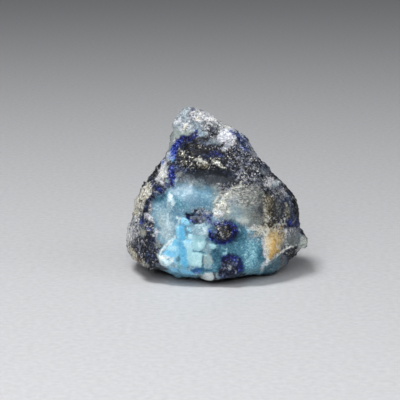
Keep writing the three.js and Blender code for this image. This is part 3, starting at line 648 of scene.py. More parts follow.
lay("granite", 0.1, (13.4, 9.8, 0.4), (14.6, 10.3, 0.35), (14.4, 9.4, 0.4), (13.2, 8.8, 0.4), share=0.5)
lay("chalk", -0.05, (13, 9.6, 0.3), (13.6, 9, 0.4), share=0.3)
lay("shade", 0.32, (12, 5.2, 0.4), (12.4, 4.6, 0.9), (12.4, 3.4, 1.1), (12, 2.6, 0.8))
lay("night", 0.3, (12.6, 4.8, 0.6), (12.8, 3.6, 0.6), soft=0.5, thin=0.3)
lay("olive", -0.1, (12.2, 4.4, 0.6), (12, 3, 0.6), soft=0.5, thin=0.3)
# Near black under the pale edge: painted shade under the overhang.
lay("charcoal", -0.3, (14.9, 6.6, 0.3), (14.3, 5.6, 0.7), (13.7, 4.9, 0.5), soft=0.3)
lay("teal", -0.25, (11.4, 4.6, 0.4), (11.2, 3.4, 0.5), soft=0.5)
lay("olive", 0.2, (9.8, 10, 0.6), (11.2, 9.7, 0.7), (12.4, 9.2, 0.6), soft=0.5)
lay("ochre", 0.1, (9.8, 9.2, 0.6), (11.2, 9, 0.7), (12.3, 8.2, 0.5), soft=0.6, thin=0.6)
lay("ochre", 0.12, (10.2, 8.4, 0.9), (11.2, 7.8, 1), (11.4, 6.8, 0.6), (10.8, 6, 0.6), soft=0.6)
lay("ochre", 0.08, (9.9, 8.8, 0.6), (10.1, 7.4, 0.7), (10.2, 6.2, 0.7), (10.2, 5, 0.5), soft=0.4)
lay("ochre", 0.16, (11.4, 8.6, 0.6), (11.7, 7.6, 0.6), (11.2, 6.6, 0.6), soft=0.5, thin=0.8)
lay("olive", 0.25, (10.6, 9, 0.7), (11.8, 8.2, 0.6), soft=0.6, thin=0.3)
lay("ochre", 0, (10.7, 7.2, 0.5), (10.7, 6.6, 0.5), (10.4, 5.6, 0.5), (10.2, 4.8, 0.35), soft=0.5)
lay("cream", 0, (9.7, 8.8, 0.35), (9.75, 7.4, 0.35), (9.7, 6.2, 0.25), soft=0.4, thin=0.55)
lay("ochre", -0.3, (10.3, 5.4, 0.2), (10.15, 4.7, 0.25), soft=0.4, thin=0.7)
lay("olive", 0, (11.4, 8.8, 0.1), (11.1, 8, 0.12), (11.2, 7.4, 0.08), (10.8, 6.6, 0.08), soft=0.3, thin=0.4)
lay("olive", 0.1, (9.8, 9.8, 0.2), (9.9, 9, 0.14), soft=0.3, thin=0.5)
lay("olive", 0.1, (12.3, 8.8, 0.2), (12, 7.8, 0.16), soft=0.3, thin=0.5)
lay("olive", 0, (10.8, 9.8, 0.7), (11.8, 9.2, 0.5), share=0.25)
lay("smoke", -0.1, (12.4, 7.2, 0.5), (12.8, 7.6, 0.4), soft=0.5, thin=0.7)
lay("cream", 0.15, (9, 8.8, 0.4), (9, 7.2, 0.45), (9.1, 6.2, 0.4), (9.3, 5.2, 0.34), (9.6, 4.3, 0.4),
    soft=0.35)
lay("ochre", 0.4, (9.5, 8.2, 0.3), (9.6, 6.4, 0.3), (9.8, 4.9, 0.25), soft=0.5, thin=0.5)
lay("fibre", 0.1, (9.2, 8.2, 0.3), (9.4, 6.8, 0.35), (9.6, 5.4, 0.25), share=0.25)
lay("chalk", 0.15, (8.1, 8.9, 0.2), (8.7, 8.4, 0.28), (8.95, 7.6, 0.24), (8.9, 6.4, 0.2), (9.1, 5.2, 0.2),
    share=0.85)
lay("cream", 0.05, (11.5, 7.2, 0.25), (11.7, 6.6, 0.25), share=0.6)
lay("cream", 0.28, (14.9, 7, 0.06), (13.7, 6.7, 0.2), (13.4, 6.5, 0.26), (12.5, 6, 0.14), (11.5, 5.5, 0.1),
    (10.7, 4.5, 0.08), soft=0.14)
lay("cream", 0.1, (6.4, 10.1, 0.4), (7.2, 10.5, 0.6), (8.4, 10.2, 0.6), (8.7, 9.4, 0.4), (9.4, 9.7, 0.6),
    share=0.95)
lay("ochre", 0.4, (8.4, 10.2, 0.4), (9.4, 9.6, 0.5), soft=0.4, thin=0.3)
lay("fibre", 0.1, (7.6, 10, 0.5), (8.8, 9.8, 0.5), share=0.2)
lay("chalk", 0.1, (6.6, 10.5, 0.25), (7.2, 10.9, 0.22), (7.3, 10.3, 0.25), share=0.75)
lay("cream", -0.02, (9.8, 4, 0.35), (9.1, 3.5, 0.4), (8.8, 2.9, 0.35), (8.4, 2.3, 0.25), share=0.9)
lay("chalk", 0.3, (9.4, 3.9, 0.42), (8.9, 3.2, 0.42), (8.5, 2.5, 0.3), share=0.95)
lay("mint", 0.3, (9, 3.3, 0.5), soft=0.4, thin=0.3)
lay("charcoal", -0.2, (9.2, 4.5, 0.12))


# ---- The teal foot and the dark inclusions ----------------------------------------------------
# Greener, more granular afghanite fills the lower right. Two round bodies of navy lazurite with a
# pyrite core sit in it, and a slim third one lies above the fresh plates.

lay("teal", 0.05, (6.2, 9, 0.9), (7.2, 8, 1), (6.6, 6.2, 1.8), (6.8, 4.2, 1.8), (7, 2.8, 1.3), soft=0.5)
lay("teal", -0.2, (4.6, 10.2, 0.5), (4.6, 9.2, 0.6), (4.2, 8, 0.8), (3.6, 7.2, 0.7), soft=0.5)
lay("teal", -0.05, (3.4, 6.4, 0.7), (4.8, 6, 0.9), (2.2, 6, 0.6), soft=0.5)
lay("frost", -0.2, (6.4, 9, 0.6), (7.4, 9, 0.7), (8.2, 9, 0.5), (7.6, 8.2, 0.5), share=0.6)
lay("ice", -0.2, (6.6, 8.2, 0.8), (7.6, 7.6, 0.5), share=0.35)
lay("teal", 0.2, (6.7, 8, 0.4), (6.7, 5.4, 0.5), (6.7, 2.6, 0.5), soft=0.9)
lay("cream", -0.05, (7.6, 9.8, 0.5), (8.5, 9.4, 0.5), share=0.7)
lay("cream", -0.25, (7.6, 9.1, 0.4), (8.4, 9, 0.35), share=0.5)
lay("mint", 0.1, (6.4, 7, 1.6), (6.6, 4.2, 1.5), share=0.06)
lay("ice", 0.1, (5.4, 10.8, 0.08), (5.6, 10.2, 0.1), (6.1, 9.5, 0.14))
lay("teal", -0.2, (8.3, 5.8, 0.4), (8.4, 4.6, 0.4), soft=0.5)
lay("teal", -0.15, (9.4, 2.7, 0.5), (10.2, 2.3, 0.5), (9, 1.9, 0.5), (10.8, 3.2, 0.5), (11.2, 4.2, 0.3))
lay("olive", 0.1, (9.6, 2.6, 0.4), (10.6, 2.9, 0.5), (11.2, 4.2, 0.3), soft=0.5, thin=0.3)
lay("teal", 0.3, (5.6, 1.95, 0.14), (7, 1.85, 0.14), (8.1, 1.95, 0.14))
lay("shade", 0.35, (2.6, 11.7, 0.35), (3.8, 11.2, 0.5), (4.5, 10.6, 0.3), soft=0.6)
lay("teal", -0.15, (-0.4, 6.2, 0.4), (0.2, 5.4, 0.8), (0.4, 4.6, 0.6), soft=0.4)
lay("mint", -0.1, (1.8, 6.5, 0.4), (1.7, 5.6, 0.35), share=0.5)

lay("teal", -0.5, (1.2, 9.4, 2.2), (2.6, 9.6, 2.1), soft=0.6)
lay("night", -0.1, (1.1, 9.6, 1.8), (2, 9.8, 1.7))
lay("night", -0.05, (-0.2, 11.3, 0.4), (0.9, 11.3, 0.5), (2.3, 11.2, 0.5), (3.3, 10.4, 0.6),
    (3.4, 9.2, 0.5))
lay("night", -0.15, (0, 7.9, 0.35), (1.2, 7.6, 0.45), (2.6, 8, 0.4))
lay("charcoal", -0.3, (2.2, 10.4, 0.4), (2.4, 9.4, 0.5), (1, 8.3, 0.3), (0.6, 9.6, 0.5))
lay("lazurite", -0.55, (3.3, 10.6, 0.4), (3.6, 9.4, 0.45), (3.2, 8.4, 0.4), (1.6, 7.5, 0.35),
    (0.2, 7.6, 0.3), soft=0.4)
lay("lazurite", -0.5, (-0.2, 11.3, 0.3), (1.2, 11.4, 0.3), (2.6, 11.2, 0.35), soft=0.4, thin=0.8)
lay("charcoal", -0.1, (0.6, 10.4, 0.6), (1.5, 10, 0.8), (1.5, 9, 0.8), (0.8, 8.8, 0.6), share=0.7)
lay("olive", -0.05, (0.6, 10.4, 0.6), (1.5, 10, 0.7), (1.5, 9, 0.8), (0.8, 8.8, 0.6), share=0.22)
lay("granite", -0.05, (0.6, 10.4, 0.5), (1.5, 9.6, 0.7), (1.2, 8.8, 0.6), share=0.16)
lay("pyrite", -0.2, (0.6, 10.4, 0.5), (1.5, 9.6, 0.7), (1.2, 8.8, 0.6), share=0.08)
lay("lazurite", -0.2, (-1.3, 9.9, 0.3), (-1.2, 8.9, 0.45), (-0.6, 8.2, 0.42))
lay("lazurite", 0.12, (-0.8, 9.4, 0.14), (-0.9, 8.4, 0.12), share=0.8)
lay("night", 0.4, (-0.4, 9.8, 0.25), (-0.1, 9.5, 0.2), share=0.8)
lay("chalk", -0.2, (2.5, 9.1, 0.12))
lay("ice", 0.1, (4, 10.1, 0.09), (4.5, 9.7, 0.12))
lay("frost", -0.2, (0.3, 11.6, 0.35), (1.2, 11.6, 0.3), share=0.35)

lay("teal", -0.5, (-5.6, 12.9, 0.4), (-3.4, 12.6, 1), (-1.6, 12.6, 0.9), soft=0.4)
lay("night", 0.1, (-4, 13.5, 0.5), (-2.4, 13.7, 0.5), (-1.2, 13, 0.5), share=0.6)
lay("night", -0.05, (-5.9, 13, 0.16), (-5.2, 12.5, 0.5), (-4.2, 12.1, 0.75), (-3, 12.2, 0.9),
    (-1.9, 12.4, 0.7), (-1, 11.5, 0.4))
lay("lazurite", -0.25, (-5.3, 12.3, 0.35), (-4.7, 11.6, 0.3), (-1.7, 12.7, 0.5), share=0.55)
lay("night", 0.6, (-1.8, 11.6, 0.5), (-1, 11.2, 0.45), (-0.2, 11.6, 0.4), share=0.6)
lay("night", 0.45, (-3.2, 13.3, 0.3), (-2.2, 13.3, 0.4), (-1.4, 13.2, 0.4), share=0.5)
lay("lazurite", 0.05, (-5.2, 12, 0.2), (-2.4, 12.9, 0.3), (-1.8, 12.2, 0.3), share=0.4)
lay("chalk", -0.2, (-4.3, 12.3, 0.2), (-3.6, 12.2, 0.22), (-3, 11.7, 0.2), (-2.9, 12.1, 0.2), share=0.75)
lay("charcoal", -0.35, (-5.8, 13, 0.08), (-4.6, 13, 0.12), (-3.2, 13, 0.12), (-2.2, 12.7, 0.14))
lay("charcoal", -0.35, (-4.4, 11.2, 0.12), (-3, 11.3, 0.1), (-1.8, 11.25, 0.12))
lay("frost", -0.1, (-4.6, 13.4, 0.3), (-3.2, 13.6, 0.4), (-2, 13.7, 0.4), (-1.2, 13.2, 0.3), share=0.4)
lay("lazurite", 0.1, (-4.8, 12.4, 0.4), (-2.4, 13.2, 0.5), (-1.4, 12.2, 0.5), share=0.2)
lay("night", 0.55, (-4.8, 12.6, 0.5), (-2.6, 12.8, 0.7), (-1.4, 12.2, 0.6), share=0.35)
lay("frost", -0.1, (-4.6, 12.2, 0.5), (-2.6, 12.4, 0.7), share=0.14)

lay("teal", -0.6, (2.4, 3.2, 2.2), (3, 3, 2.1), soft=0.5)
lay("night", -0.15, (2.3, 3.6, 1.7), (2.6, 2.8, 1.9), (2, 1.6, 1.2))
lay("night", -0.05, (1.2, 3.8, 0.5), (2.4, 4.8, 0.4), (4, 4.3, 0.5), (0.8, 2.2, 0.6))
lay("lazurite", -0.55, (1, 4.4, 0.4), (2.4, 5, 0.4), (4, 4.5, 0.4), (4.6, 3.4, 0.45), (4.4, 2.2, 0.4),
    soft=0.5)
lay("charcoal", -0.3, (2, 3.6, 0.6), (2.4, 2.3, 0.8), (3.2, 2.8, 0.6), share=0.6)
lay("shade", 0.4, (2.3, 3.2, 0.3), (2.6, 2.7, 0.25), share=0.5)
lay("granite", -0.15, (2.5, 3.1, 0.2), (2.2, 2.7, 0.12), share=0.7)
lay("chalk", 0.05, (3.75, 3.7, 0.12))
lay("chalk", 0.05, (3.55, 2.2, 0.13))
lay("ice", 0, (3.9, 4.45, 0.1))
lay("night", 0.1, (0.8, 1.3, 0.5), (1.8, 0.9, 0.4))
lay("ice", -0.1, (0, 1.3, 0.2), (0.5, 0.9, 0.16))


# ---- The fresh plates -------------------------------------------------------------------------
# Low in the middle the rock broke along cleavage, and left clean plates of brilliant light blue
# with steps between them. Their left and upper edges are crushed to a white crumbly rim.

plate_height = np.zeros(len(points))
crisp_face = elevation + ragged * 0.4


def plate(mineral, shade, *corners, rise=0.0, slope=(0, 0), soft=0.12, share=1.0):
    """A flat cleavage plate: its corners in order as (across, up), its rise in mm, and its slope."""
    global plate_height
    pairs = list(zip(corners, corners[1:] + corners[:1]))
    turn = math.copysign(1, sum(x1 * y2 - x2 * y1 for (x1, y1), (x2, y2) in pairs))
    gap = np.full(len(elevation), -FAR)
    for (x1, y1), (x2, y2) in pairs:
        outward = np.array([y2 - y1, x1 - x2]) * turn / math.hypot(x2 - x1, y2 - y1)
        gap = np.maximum(gap, (crisp_face - [x1, y1]) @ outward)
    cover = smooth_step(soft, -soft, gap) * seen
    cover_with(mineral, shade, cover, share)
    level = rise + (elevation - np.mean(corners, axis=0)) @ np.array(slope)
    plate_height += cover * (level - plate_height)


lay("sky", 0.2, (-9.2, 2.4, 0.9), (-7.4, 2.4, 1.2), (-5.2, 1.8, 0.8), (-4, 1.2, 0.5), soft=0.3)
lay("azure", 0.1, (-8.6, 2.4, 0.6), (-6.4, 2, 0.7), (-4.8, 1.7, 0.5), soft=0.4, thin=0.8)
lay("teal", -0.1, (-7.4, 2.6, 0.14), (-6.6, 1.6, 0.2))
lay("teal", 0.25, (-9.8, 2.5, 0.4), (-8.4, 1.8, 0.5), (-6.6, 1.3, 0.5), (-5, 1, 0.4), soft=0.4, thin=0.45)
lay("ice", -0.1, (-8.3, 3.2, 0.25), (-7.6, 3.4, 0.2), soft=0.3)
plate("ice", -0.12, (-4.7, 10.6), (-3.8, 11), (-2.3, 11), (-1.6, 10.2), (-1.7, 8.8), (-4.6, 8.9), rise=0.1,
      slope=(0, -0.1))
plate("ice", 0.25, (-2.7, 10.5), (-1.8, 10.2), (-1.9, 9.4), (-2.6, 9.5), rise=0.2, slope=(0.1, 0.1))
plate("ice", -0.2, (-2.5, 7.9), (-1, 7.9), (-0.9, 6.3), (-1.2, 5.6), (-2.7, 5.9), rise=-0.05)
plate("mint", -0.05, (-1.3, 7.4), (-0.1, 7.2), (0, 6.6), (-0.7, 6.3), (-1.2, 6.5), rise=0.15,
      slope=(0.1, 0))
plate("teal", -0.28, (-0.9, 6.2), (0.6, 6.2), (0.8, 3.6), (-0.6, 3.2), (-0.7, 4.6), rise=-0.1)
plate("mint", -0.05, (-4.7, 9), (-2.5, 9.2), (-2, 8.6), (-2.3, 6.4), (-3.4, 6), (-4.8, 6.4), rise=0.15,
      slope=(0, 0.05))
plate("mint", 0.15, (-3.8, 7.7), (-2.3, 7.7), (-2.6, 6.4), (-3.3, 6.4), rise=0.25, slope=(0.1, -0.1),
      soft=0.25)
plate("cyan", -0.02, (-10.1, 5.5), (-7.8, 8.6), (-6.8, 8), (-7.1, 5), (-8, 4.6), rise=0.05, slope=(0.05, 0))
plate("cyan", 0.22, (-9.5, 6.3), (-8.5, 7.4), (-7.5, 6.9), (-7.6, 6), rise=0.12, slope=(0, 0.12))
plate("azure", 0.2, (-9.9, 5.4), (-9.4, 6), (-7.6, 5.7), (-7.6, 4.9), (-9.5, 5), slope=(0, -0.1))
plate("cyan", -0.15, (-8.5, 7.3), (-7.7, 8.2), (-7, 7.7), (-7.4, 6.8), rise=0.15, slope=(-0.1, 0))
plate("cyan", -0.32, (-7.2, 7.6), (-6.2, 7.9), (-5.4, 6.9), (-5.2, 3.4), (-6.1, 2.5), (-6.9, 3.8),
      (-7, 5.2), rise=0.1, slope=(0.08, 0))
plate("cyan", 0.22, (-6.5, 7.9), (-4.8, 7.8), (-4.7, 6.4), (-5.3, 5.8), (-6, 6.8), rise=0.22,
      slope=(-0.1, 0.1))
plate("mint", 0.02, (-5.5, 6.6), (-4.6, 6.4), (-4.3, 3.2), (-5.1, 3.3), (-5.6, 4.6), rise=0.2,
      slope=(0.05, 0), soft=0.3)
plate("mint", 0.12, (-4.7, 6.2), (-3.6, 5.8), (-2.75, 5.8), (-2.6, 3.4), (-3.2, 2.8), (-4.5, 3.3),
      rise=0.25, slope=(0.04, 0.03))
plate("sky", 0.2, (-5, 3.4), (-3.4, 2.95), (-3, 2.6), (-4.6, 2.6), (-5.3, 2.8), rise=0.05, slope=(0, 0.2))
plate("azure", 0, (-6.95, 8.1), (-7.05, 10.2), (-6.7, 11), (-6.1, 10.9), (-5.9, 8.3), (-6.3, 8))
plate("cyan", -0.05, (-7.6, 8.6), (-7.5, 10.7), (-6.95, 11.1), (-7, 8.2), rise=0.15, slope=(-0.15, 0))
plate("cyan", 0.05, (-6.9, 12.2), (-5.8, 12.3), (-5, 11.2), (-5.7, 10.9), (-6.7, 11.1), rise=0.1,
      share=0.85)
plate("cyan", 0.05, (-5.9, 11.2), (-5.2, 11.2), (-4.7, 9.6), (-5.2, 9.4), (-5.6, 9.9), rise=0.15,
      share=0.85)
plate("teal", 0, (-6.1, 10.7), (-5.6, 10.4), (-5.5, 10), (-5.9, 10.1), rise=-0.1)
plate("teal", 0.25, (-5.95, 9.05), (-5.45, 9.05), (-5.4, 8.2), (-5.85, 8.1))
plate("cyan", 0.35, (-5.4, 9.3), (-4.6, 9.1), (-4.55, 8.2), (-5.4, 8.2), rise=0.15, slope=(0, 0.15))
plate("cyan", 0.05, (-5.95, 8.15), (-4.6, 8.15), (-4.6, 7.75), (-6.3, 7.8), rise=0.1)
plate("smoke", 0.24, (-2.5, 5.3), (-1.4, 5.6), (-1, 4.9), (-0.65, 3.8), (-1, 3.4), (-2.5, 3.6), rise=0.1,
      slope=(-0.1, 0))
plate("ice", -0.18, (-2.5, 3.6), (-1, 3.5), (-0.8, 2.8), (-2.3, 2.7), slope=(0, 0.15))
plate("teal", 0, (-2.75, 5.9), (-2.5, 5.9), (-2.4, 2.8), (-2.7, 2.9), rise=-0.1)
plate("teal", -0.1, (-7.25, 5.15), (-6.95, 4.7), (-6.85, 3.9), (-7.4, 4), rise=-0.1, soft=0.08)
lay("cyan", -0.1, (-7.9, 4.4, 0.25), (-7.7, 3.8, 0.2), soft=0.3)
plate("teal", 0.28, (-7.4, 4), (-6.8, 4), (-6.4, 3), (-6.6, 2.2), (-7.6, 3.1))
plate("lazurite", -0.3, (-4.8, 2.35), (-4, 2.8), (-3.1, 2.8), (-2.5, 2.5), (-3, 2.15), (-3.7, 1.75),
      (-4.3, 1.85), rise=0.1)
lay("azure", -0.6, (-4.2, 2.3, 0.4), (-3, 2.4, 0.4), soft=0.3, thin=0.36)
lay("mint", -0.3, (-1.8, 4.9, 0.5), (-1.6, 3.9, 0.5), soft=0.5, thin=0.5)
plate("smoke", 0.5, (-2.9, 1.3), (-2.1, 1.9), (-0.9, 1.95), (-0.4, 1), (-0.9, 0.25), (-2.2, 0.35),
      (-2.8, 0.8), rise=0.15, slope=(0.05, 0.1))
lay("mint", 0.2, (-3.5, 5.5, 0.12), (-2.6, 5.3, 0.14), share=0.8)
lay("mint", 0.1, (-2.3, 5.35, 0.14), (-1.9, 5.3, 0.12))
lay("ice", 0.2, (-4.1, 10.85, 0.08), (-2.4, 11.05, 0.1), (-1.8, 10.5, 0.08))
lay("ice", 0.15, (-4.6, 10.3, 0.3), (-2, 8.9, 0.4), share=0.3)
lay("snow", 0.28, (-7.75, 8.8, 0.14), (-8.4, 8.1, 0.34), (-9.2, 7.3, 0.34), (-9.9, 6.5, 0.3),
    (-10.4, 5.8, 0.25))
lay("snow", 0.2, (-10.7, 5.1, 0.4), (-10.2, 4.5, 0.8), (-9.4, 4.2, 0.85), (-8.5, 4.35, 0.5))
lay("snow", 0.05, (-9.8, 3.6, 0.5), (-9.2, 3.2, 0.3))
lay("cyan", 0.3, (-9.8, 4.4, 0.5), (-9.2, 3.8, 0.5), soft=0.5, thin=0.3)
lay("snow", -0.25, (-9.4, 4.3, 0.25), (-8.5, 4.4, 0.2), share=0.7, soft=0.3)
lay("snow", 0, (-7.5, 10.9, 0.14), (-7.7, 10.35, 0.14))
lay("ice", 0.25, (-7.4, 12.3, 0.25), (-7, 12, 0.28), (-7.3, 11.4, 0.2), share=0.8)
lay("teal", -0.4, (-2.6, 2.35, 0.08), (-1.8, 2.3, 0.08), (-1, 2.35, 0.08))
lay("frost", 0.3, (-1.6, 1.2, 0.8), soft=0.4, thin=0.5)
lay("chalk", 0.05, (-3.05, 1.35, 0.18))
lay("shade", 0.1, (-2.9, 0.95, 0.14), (-3.2, 1.7, 0.1))


# ---- The left flank ---------------------------------------------------------------------------
# Down the left side the outer crust is pale gold with pyrite, then grey and sugary, and charcoal
# at the foot, divided from the blue by a black seam with lazurite and white flecks in it.

lay("charcoal", -0.18, (-12.9, 8.2, 0.9), (-12.2, 7, 1.2), (-13, 5.6, 1.4), (-12.2, 4, 1.1),
    (-11.4, 3.2, 0.6))
lay("shade", -0.15, (-13, 7.6, 0.7), (-12.4, 6.4, 0.8), (-12.6, 4.8, 0.8), soft=0.8, thin=0.4)
lay("night", -0.05, (-12.6, 8.2, 0.7), (-12, 7.2, 0.8), (-12.4, 4.9, 1.1), share=0.5)
lay("granite", -0.05, (-15.4, 11.8, 1), (-15.6, 10, 1.5), (-16.2, 8.2, 1))
lay("granite", 0.2, (-15.4, 11.6, 0.9), (-15.8, 9.6, 1.2), (-16.6, 8, 0.7), share=0.65)
lay("chalk", -0.1, (-15.6, 11.4, 0.8), (-15.8, 9.6, 1), (-16.4, 8.2, 0.6), share=0.2)
lay("charcoal", 0.1, (-16.2, 12.2, 0.4), (-14.8, 10.4, 0.5), (-15.7, 8.6, 0.3), (-14.8, 9.4, 0.4),
    share=0.35)
lay("charcoal", 0.05, (-15.2, 7.4, 0.8), (-14.6, 8.4, 0.6), (-15.2, 6.6, 0.6), (-14.3, 6.2, 0.6),
    share=0.85)
lay("pyrite", 0.05, (-16.4, 7.6, 0.3), (-16.2, 6.4, 0.35), (-15.5, 5.4, 0.5), (-14.9, 4.4, 0.35), share=0.8)
lay("cream", 0, (-15.8, 5.8, 0.35), (-15.3, 4.9, 0.35), share=0.8)
lay("ochre", 0.3, (-15.9, 6, 0.5), (-15.4, 5, 0.5), (-13.6, 3.4, 0.4), soft=0.4, thin=0.22)
lay("pyrite", 0, (-14.5, 4, 0.3), (-13.7, 3.5, 0.35), (-12.8, 2.8, 0.25), (-12.4, 2.5, 0.2), share=0.85)
lay("olive", 0, (-13.9, 3.3, 0.2), (-13, 2.6, 0.2), share=0.6)
lay("granite", -0.1, (-16.6, 7.4, 0.4), (-16.4, 6.4, 0.4), (-15.8, 5.2, 0.3), share=0.5)
lay("charcoal", -0.3, (-16.9, 6.2, 0.1), (-16.5, 5, 0.18), (-15.9, 4.3, 0.14))
lay("cream", -0.1, (-13.7, 4.2, 0.09), (-13.2, 3.7, 0.1), (-12.8, 3.3, 0.09))
lay("charcoal", 0.1, (-11.4, 7.6, 0.5), (-11, 6.8, 0.4), (-10.9, 6.2, 0.3), share=0.7)
lay("smoke", -0.1, (-11.1, 8.1, 0.35), (-11, 7, 0.35), (-10.5, 6.9, 0.3), share=0.6)
lay("shade", 0.15, (-10.9, 3.2, 0.4), (-10.2, 2.7, 0.4), (-9.5, 2.6, 0.3), share=0.8)
# Painted shadow: a near-black strip along the bottom edge, where the lump meets the table.
lay("charcoal", -0.3, (-11.8, 2.6, 0.4), (-11.2, 2.3, 0.35))

lay("pyrite", 0.1, (-12.6, 18.7, 0.7), (-13.2, 17.2, 1.1), (-14.2, 15.8, 0.8), (-14.9, 14.2, 0.9),
    (-15.2, 13, 0.7))
lay("cream", -0.15, (-13.2, 18.4, 0.6), (-13.6, 17, 1), (-14.8, 15.2, 0.8), (-15.4, 13.6, 0.8), share=0.62)
lay("cream", -0.2, (-13.2, 19, 0.4), (-14, 18, 0.6), (-14.6, 16.9, 0.6), (-15.4, 15.6, 0.5), (-16, 14, 0.4),
    share=0.8)
lay("pyrite", 0.1, (-13.3, 19, 0.4), (-14, 18, 0.5), (-14.8, 16.6, 0.6), (-15.8, 14.2, 0.5), share=0.35)
lay("ochre", 0.35, (-13.2, 18.2, 0.6), (-13.6, 16.8, 0.9), (-14.8, 15.2, 0.8), (-15.2, 13.6, 0.8), soft=0.4,
    thin=0.17)
lay("olive", 0.3, (-13.4, 18.2, 0.6), (-13.8, 16.8, 0.8), (-14.8, 15.2, 0.7), share=0.2)
lay("cream", -0.05, (-12.7, 17.3, 0.35), (-12.6, 16.7, 0.3), share=0.8)
lay("chalk", 0.1, (-13.4, 18.4, 0.6), (-13.8, 16.6, 0.9), (-15, 14.4, 0.8), share=0.22)
lay("charcoal", 0, (-13.2, 18.4, 0.6), (-13.6, 16.6, 0.9), (-14.8, 14.4, 0.8), share=0.12)
lay("chalk", 0.05, (-12.3, 18.2, 0.13))
lay("chalk", 0, (-15.4, 15, 0.16), (-15.2, 15.4, 0.12))
lay("chalk", 0.1, (-15.2, 12.5, 0.16), (-15, 12.3, 0.12))
lay("cream", 0, (-14.4, 13.4, 0.3), (-14.7, 12.9, 0.25), share=0.7)
lay("night", -0.12, (-12.3, 15.9, 0.5), (-12.9, 15.2, 0.6), (-13.2, 14.2, 0.5), (-13.5, 13.2, 0.35),
    (-13.9, 12.5, 0.25))
lay("cream", -0.05, (-13.85, 15, 0.1), (-13.9, 14, 0.14))
lay("night", 0.06, (-11.7, 18.2, 0.45), (-10.8, 17.6, 0.65), (-10, 17.4, 0.5), (-9.5, 17.7, 0.35))
lay("night", 0, (-11.8, 16.7, 0.4), (-11.1, 16.4, 0.4))
lay("lazurite", -0.38, (-11, 17.8, 0.35), (-10.4, 17.4, 0.35), share=0.6)
lay("teal", -0.3, (-10.6, 16.3, 0.6), (-11.2, 15.6, 0.4), (-9.9, 16.2, 0.4), soft=0.4)
lay("night", 0.15, (-11.2, 16.6, 0.5), (-10, 16.6, 0.5), soft=0.4, thin=0.5)
lay("night", 0.2, (-11.2, 17, 0.5), (-10.2, 16.8, 0.5), share=0.6)
lay("frost", -0.1, (-11.5, 17.3, 0.05), (-11, 16.9, 0.06), share=0.7)
lay("granite", 0.05, (-12.2, 15.2, 0.1), (-12.5, 14.4, 0.14))
lay("chalk", 0.1, (-12.15, 15.2, 0.14), (-12.35, 14.8, 0.16), (-12.5, 14.3, 0.16))
lay("granite", 0, (-12.5, 13.6, 0.4), (-12.1, 13.9, 0.3), share=0.8)
lay("chalk", 0, (-13.4, 12.9, 0.3), (-12.8, 12.5, 0.45), (-12.2, 12.2, 0.45), (-12, 11.7, 0.3))
lay("night", 0.12, (-14.1, 12.1, 0.4), (-13.8, 11.7, 0.35), (-14.1, 11, 0.4))
lay("lazurite", -0.3, (-13.9, 11.8, 0.2), (-14.2, 11, 0.2), share=0.7)
lay("charcoal", 0.02, (-13.1, 11.5, 0.3), (-12.5, 11.1, 0.4), (-12.1, 10.4, 0.4), (-11.9, 9.6, 0.3))
lay("granite", -0.05, (-13.3, 10.9, 0.4), (-13.9, 10.5, 0.3), share=0.6)
lay("lazurite", 0.05, (-12.9, 10.2, 0.3), (-12.7, 9.7, 0.35), share=0.6)
lay("night", 0, (-12.9, 9.3, 0.22))
lay("smoke", -0.05, (-13.9, 10.1, 0.25), (-13.7, 9.4, 0.38), (-13.9, 8.9, 0.2))
lay("ochre", 0.1, (-13.8, 9.5, 0.35), soft=0.4, thin=0.3)
lay("chalk", -0.05, (-11.25, 10.1, 0.24), (-11.1, 9.6, 0.38), (-11.3, 9.2, 0.25))
lay("granite", -0.1, (-12.2, 9, 0.3), (-11.5, 8.9, 0.3), share=0.5)
lay("chalk", 0, (-13.85, 7.75, 0.16))
lay("chalk", 0, (-11.15, 7.85, 0.11))
lay("granite", 0, (-15.4, 8.6, 0.14), (-15.1, 8.2, 0.14))

lay("charcoal", -0.2, (-10.3, 23.2, 0.22), (-10.9, 22.1, 0.2), (-11.5, 21.1, 0.3), (-12.2, 19.9, 0.6),
    (-12.3, 19.1, 0.4))
lay("night", 0.1, (-12.6, 20.1, 0.25), (-12.2, 19.4, 0.3), (-12.2, 18.6, 0.2), share=0.6)
lay("granite", 0.05, (-10, 23, 0.35), (-9.6, 22, 0.4), (-10.2, 21, 0.5), (-11.2, 19.4, 0.3))
lay("chalk", 0.14, (-10, 22.4, 0.35), (-10.1, 21.2, 0.7), (-10.2, 20.4, 0.7), (-9.5, 20.2, 0.35),
    (-11, 19.7, 0.35))
lay("cream", 0.2, (-10.4, 21, 0.5), (-10.2, 20.2, 0.5), share=0.6)
lay("smoke", 0.2, (-9.6, 22, 0.25), (-9.6, 21.4, 0.25), soft=0.3)
lay("lazurite", 0.3, (-10.1, 22.9, 0.2), (-10.3, 22.5, 0.14), share=0.8)
lay("charcoal", -0.1, (-10.4, 19.8, 0.14), (-10.8, 19.2, 0.14), (-10.6, 18.7, 0.12))
lay("chalk", 0.15, (-10.5, 19.3, 0.24), (-10.1, 18.8, 0.28))
lay("olive", 0.2, (-9.9, 19.7, 0.2), share=0.7)


# ---- The relief the minerals give -------------------------------------------------------------
# Each mineral breaks in its own way: grains stand proud, waxy stone stays round, fibres run in low
# ridges, and the crushed rim crumbles. The larger swells, hollows and cracks are listed one by one, and
# the foot is drawn in under the lump. Pairs run from where a change begins to where it is complete, in
# mm above the table, or in degrees around the middle for the foot's left end and front corner.

# The first pair is the strip above the table that is painted near black, as painted shadow under the lump.
PAINTED_SHADOW_BAND = (1.2, 0.7)
RELIEF_EASE = (0.1, 0.9)
BREAK_TOP = 0.04
UNDERCUT_EASE = (1.5, 0.3)
UNDERCUT_SHARE = 0.08
FOOT_RUN = 1.3
FOOT_RUN_EASE = (4.6, 1.6)
FOOT_RUN_LEFT_END = (190, 218)
FOOT_RUN_CORNER = (266, 242)

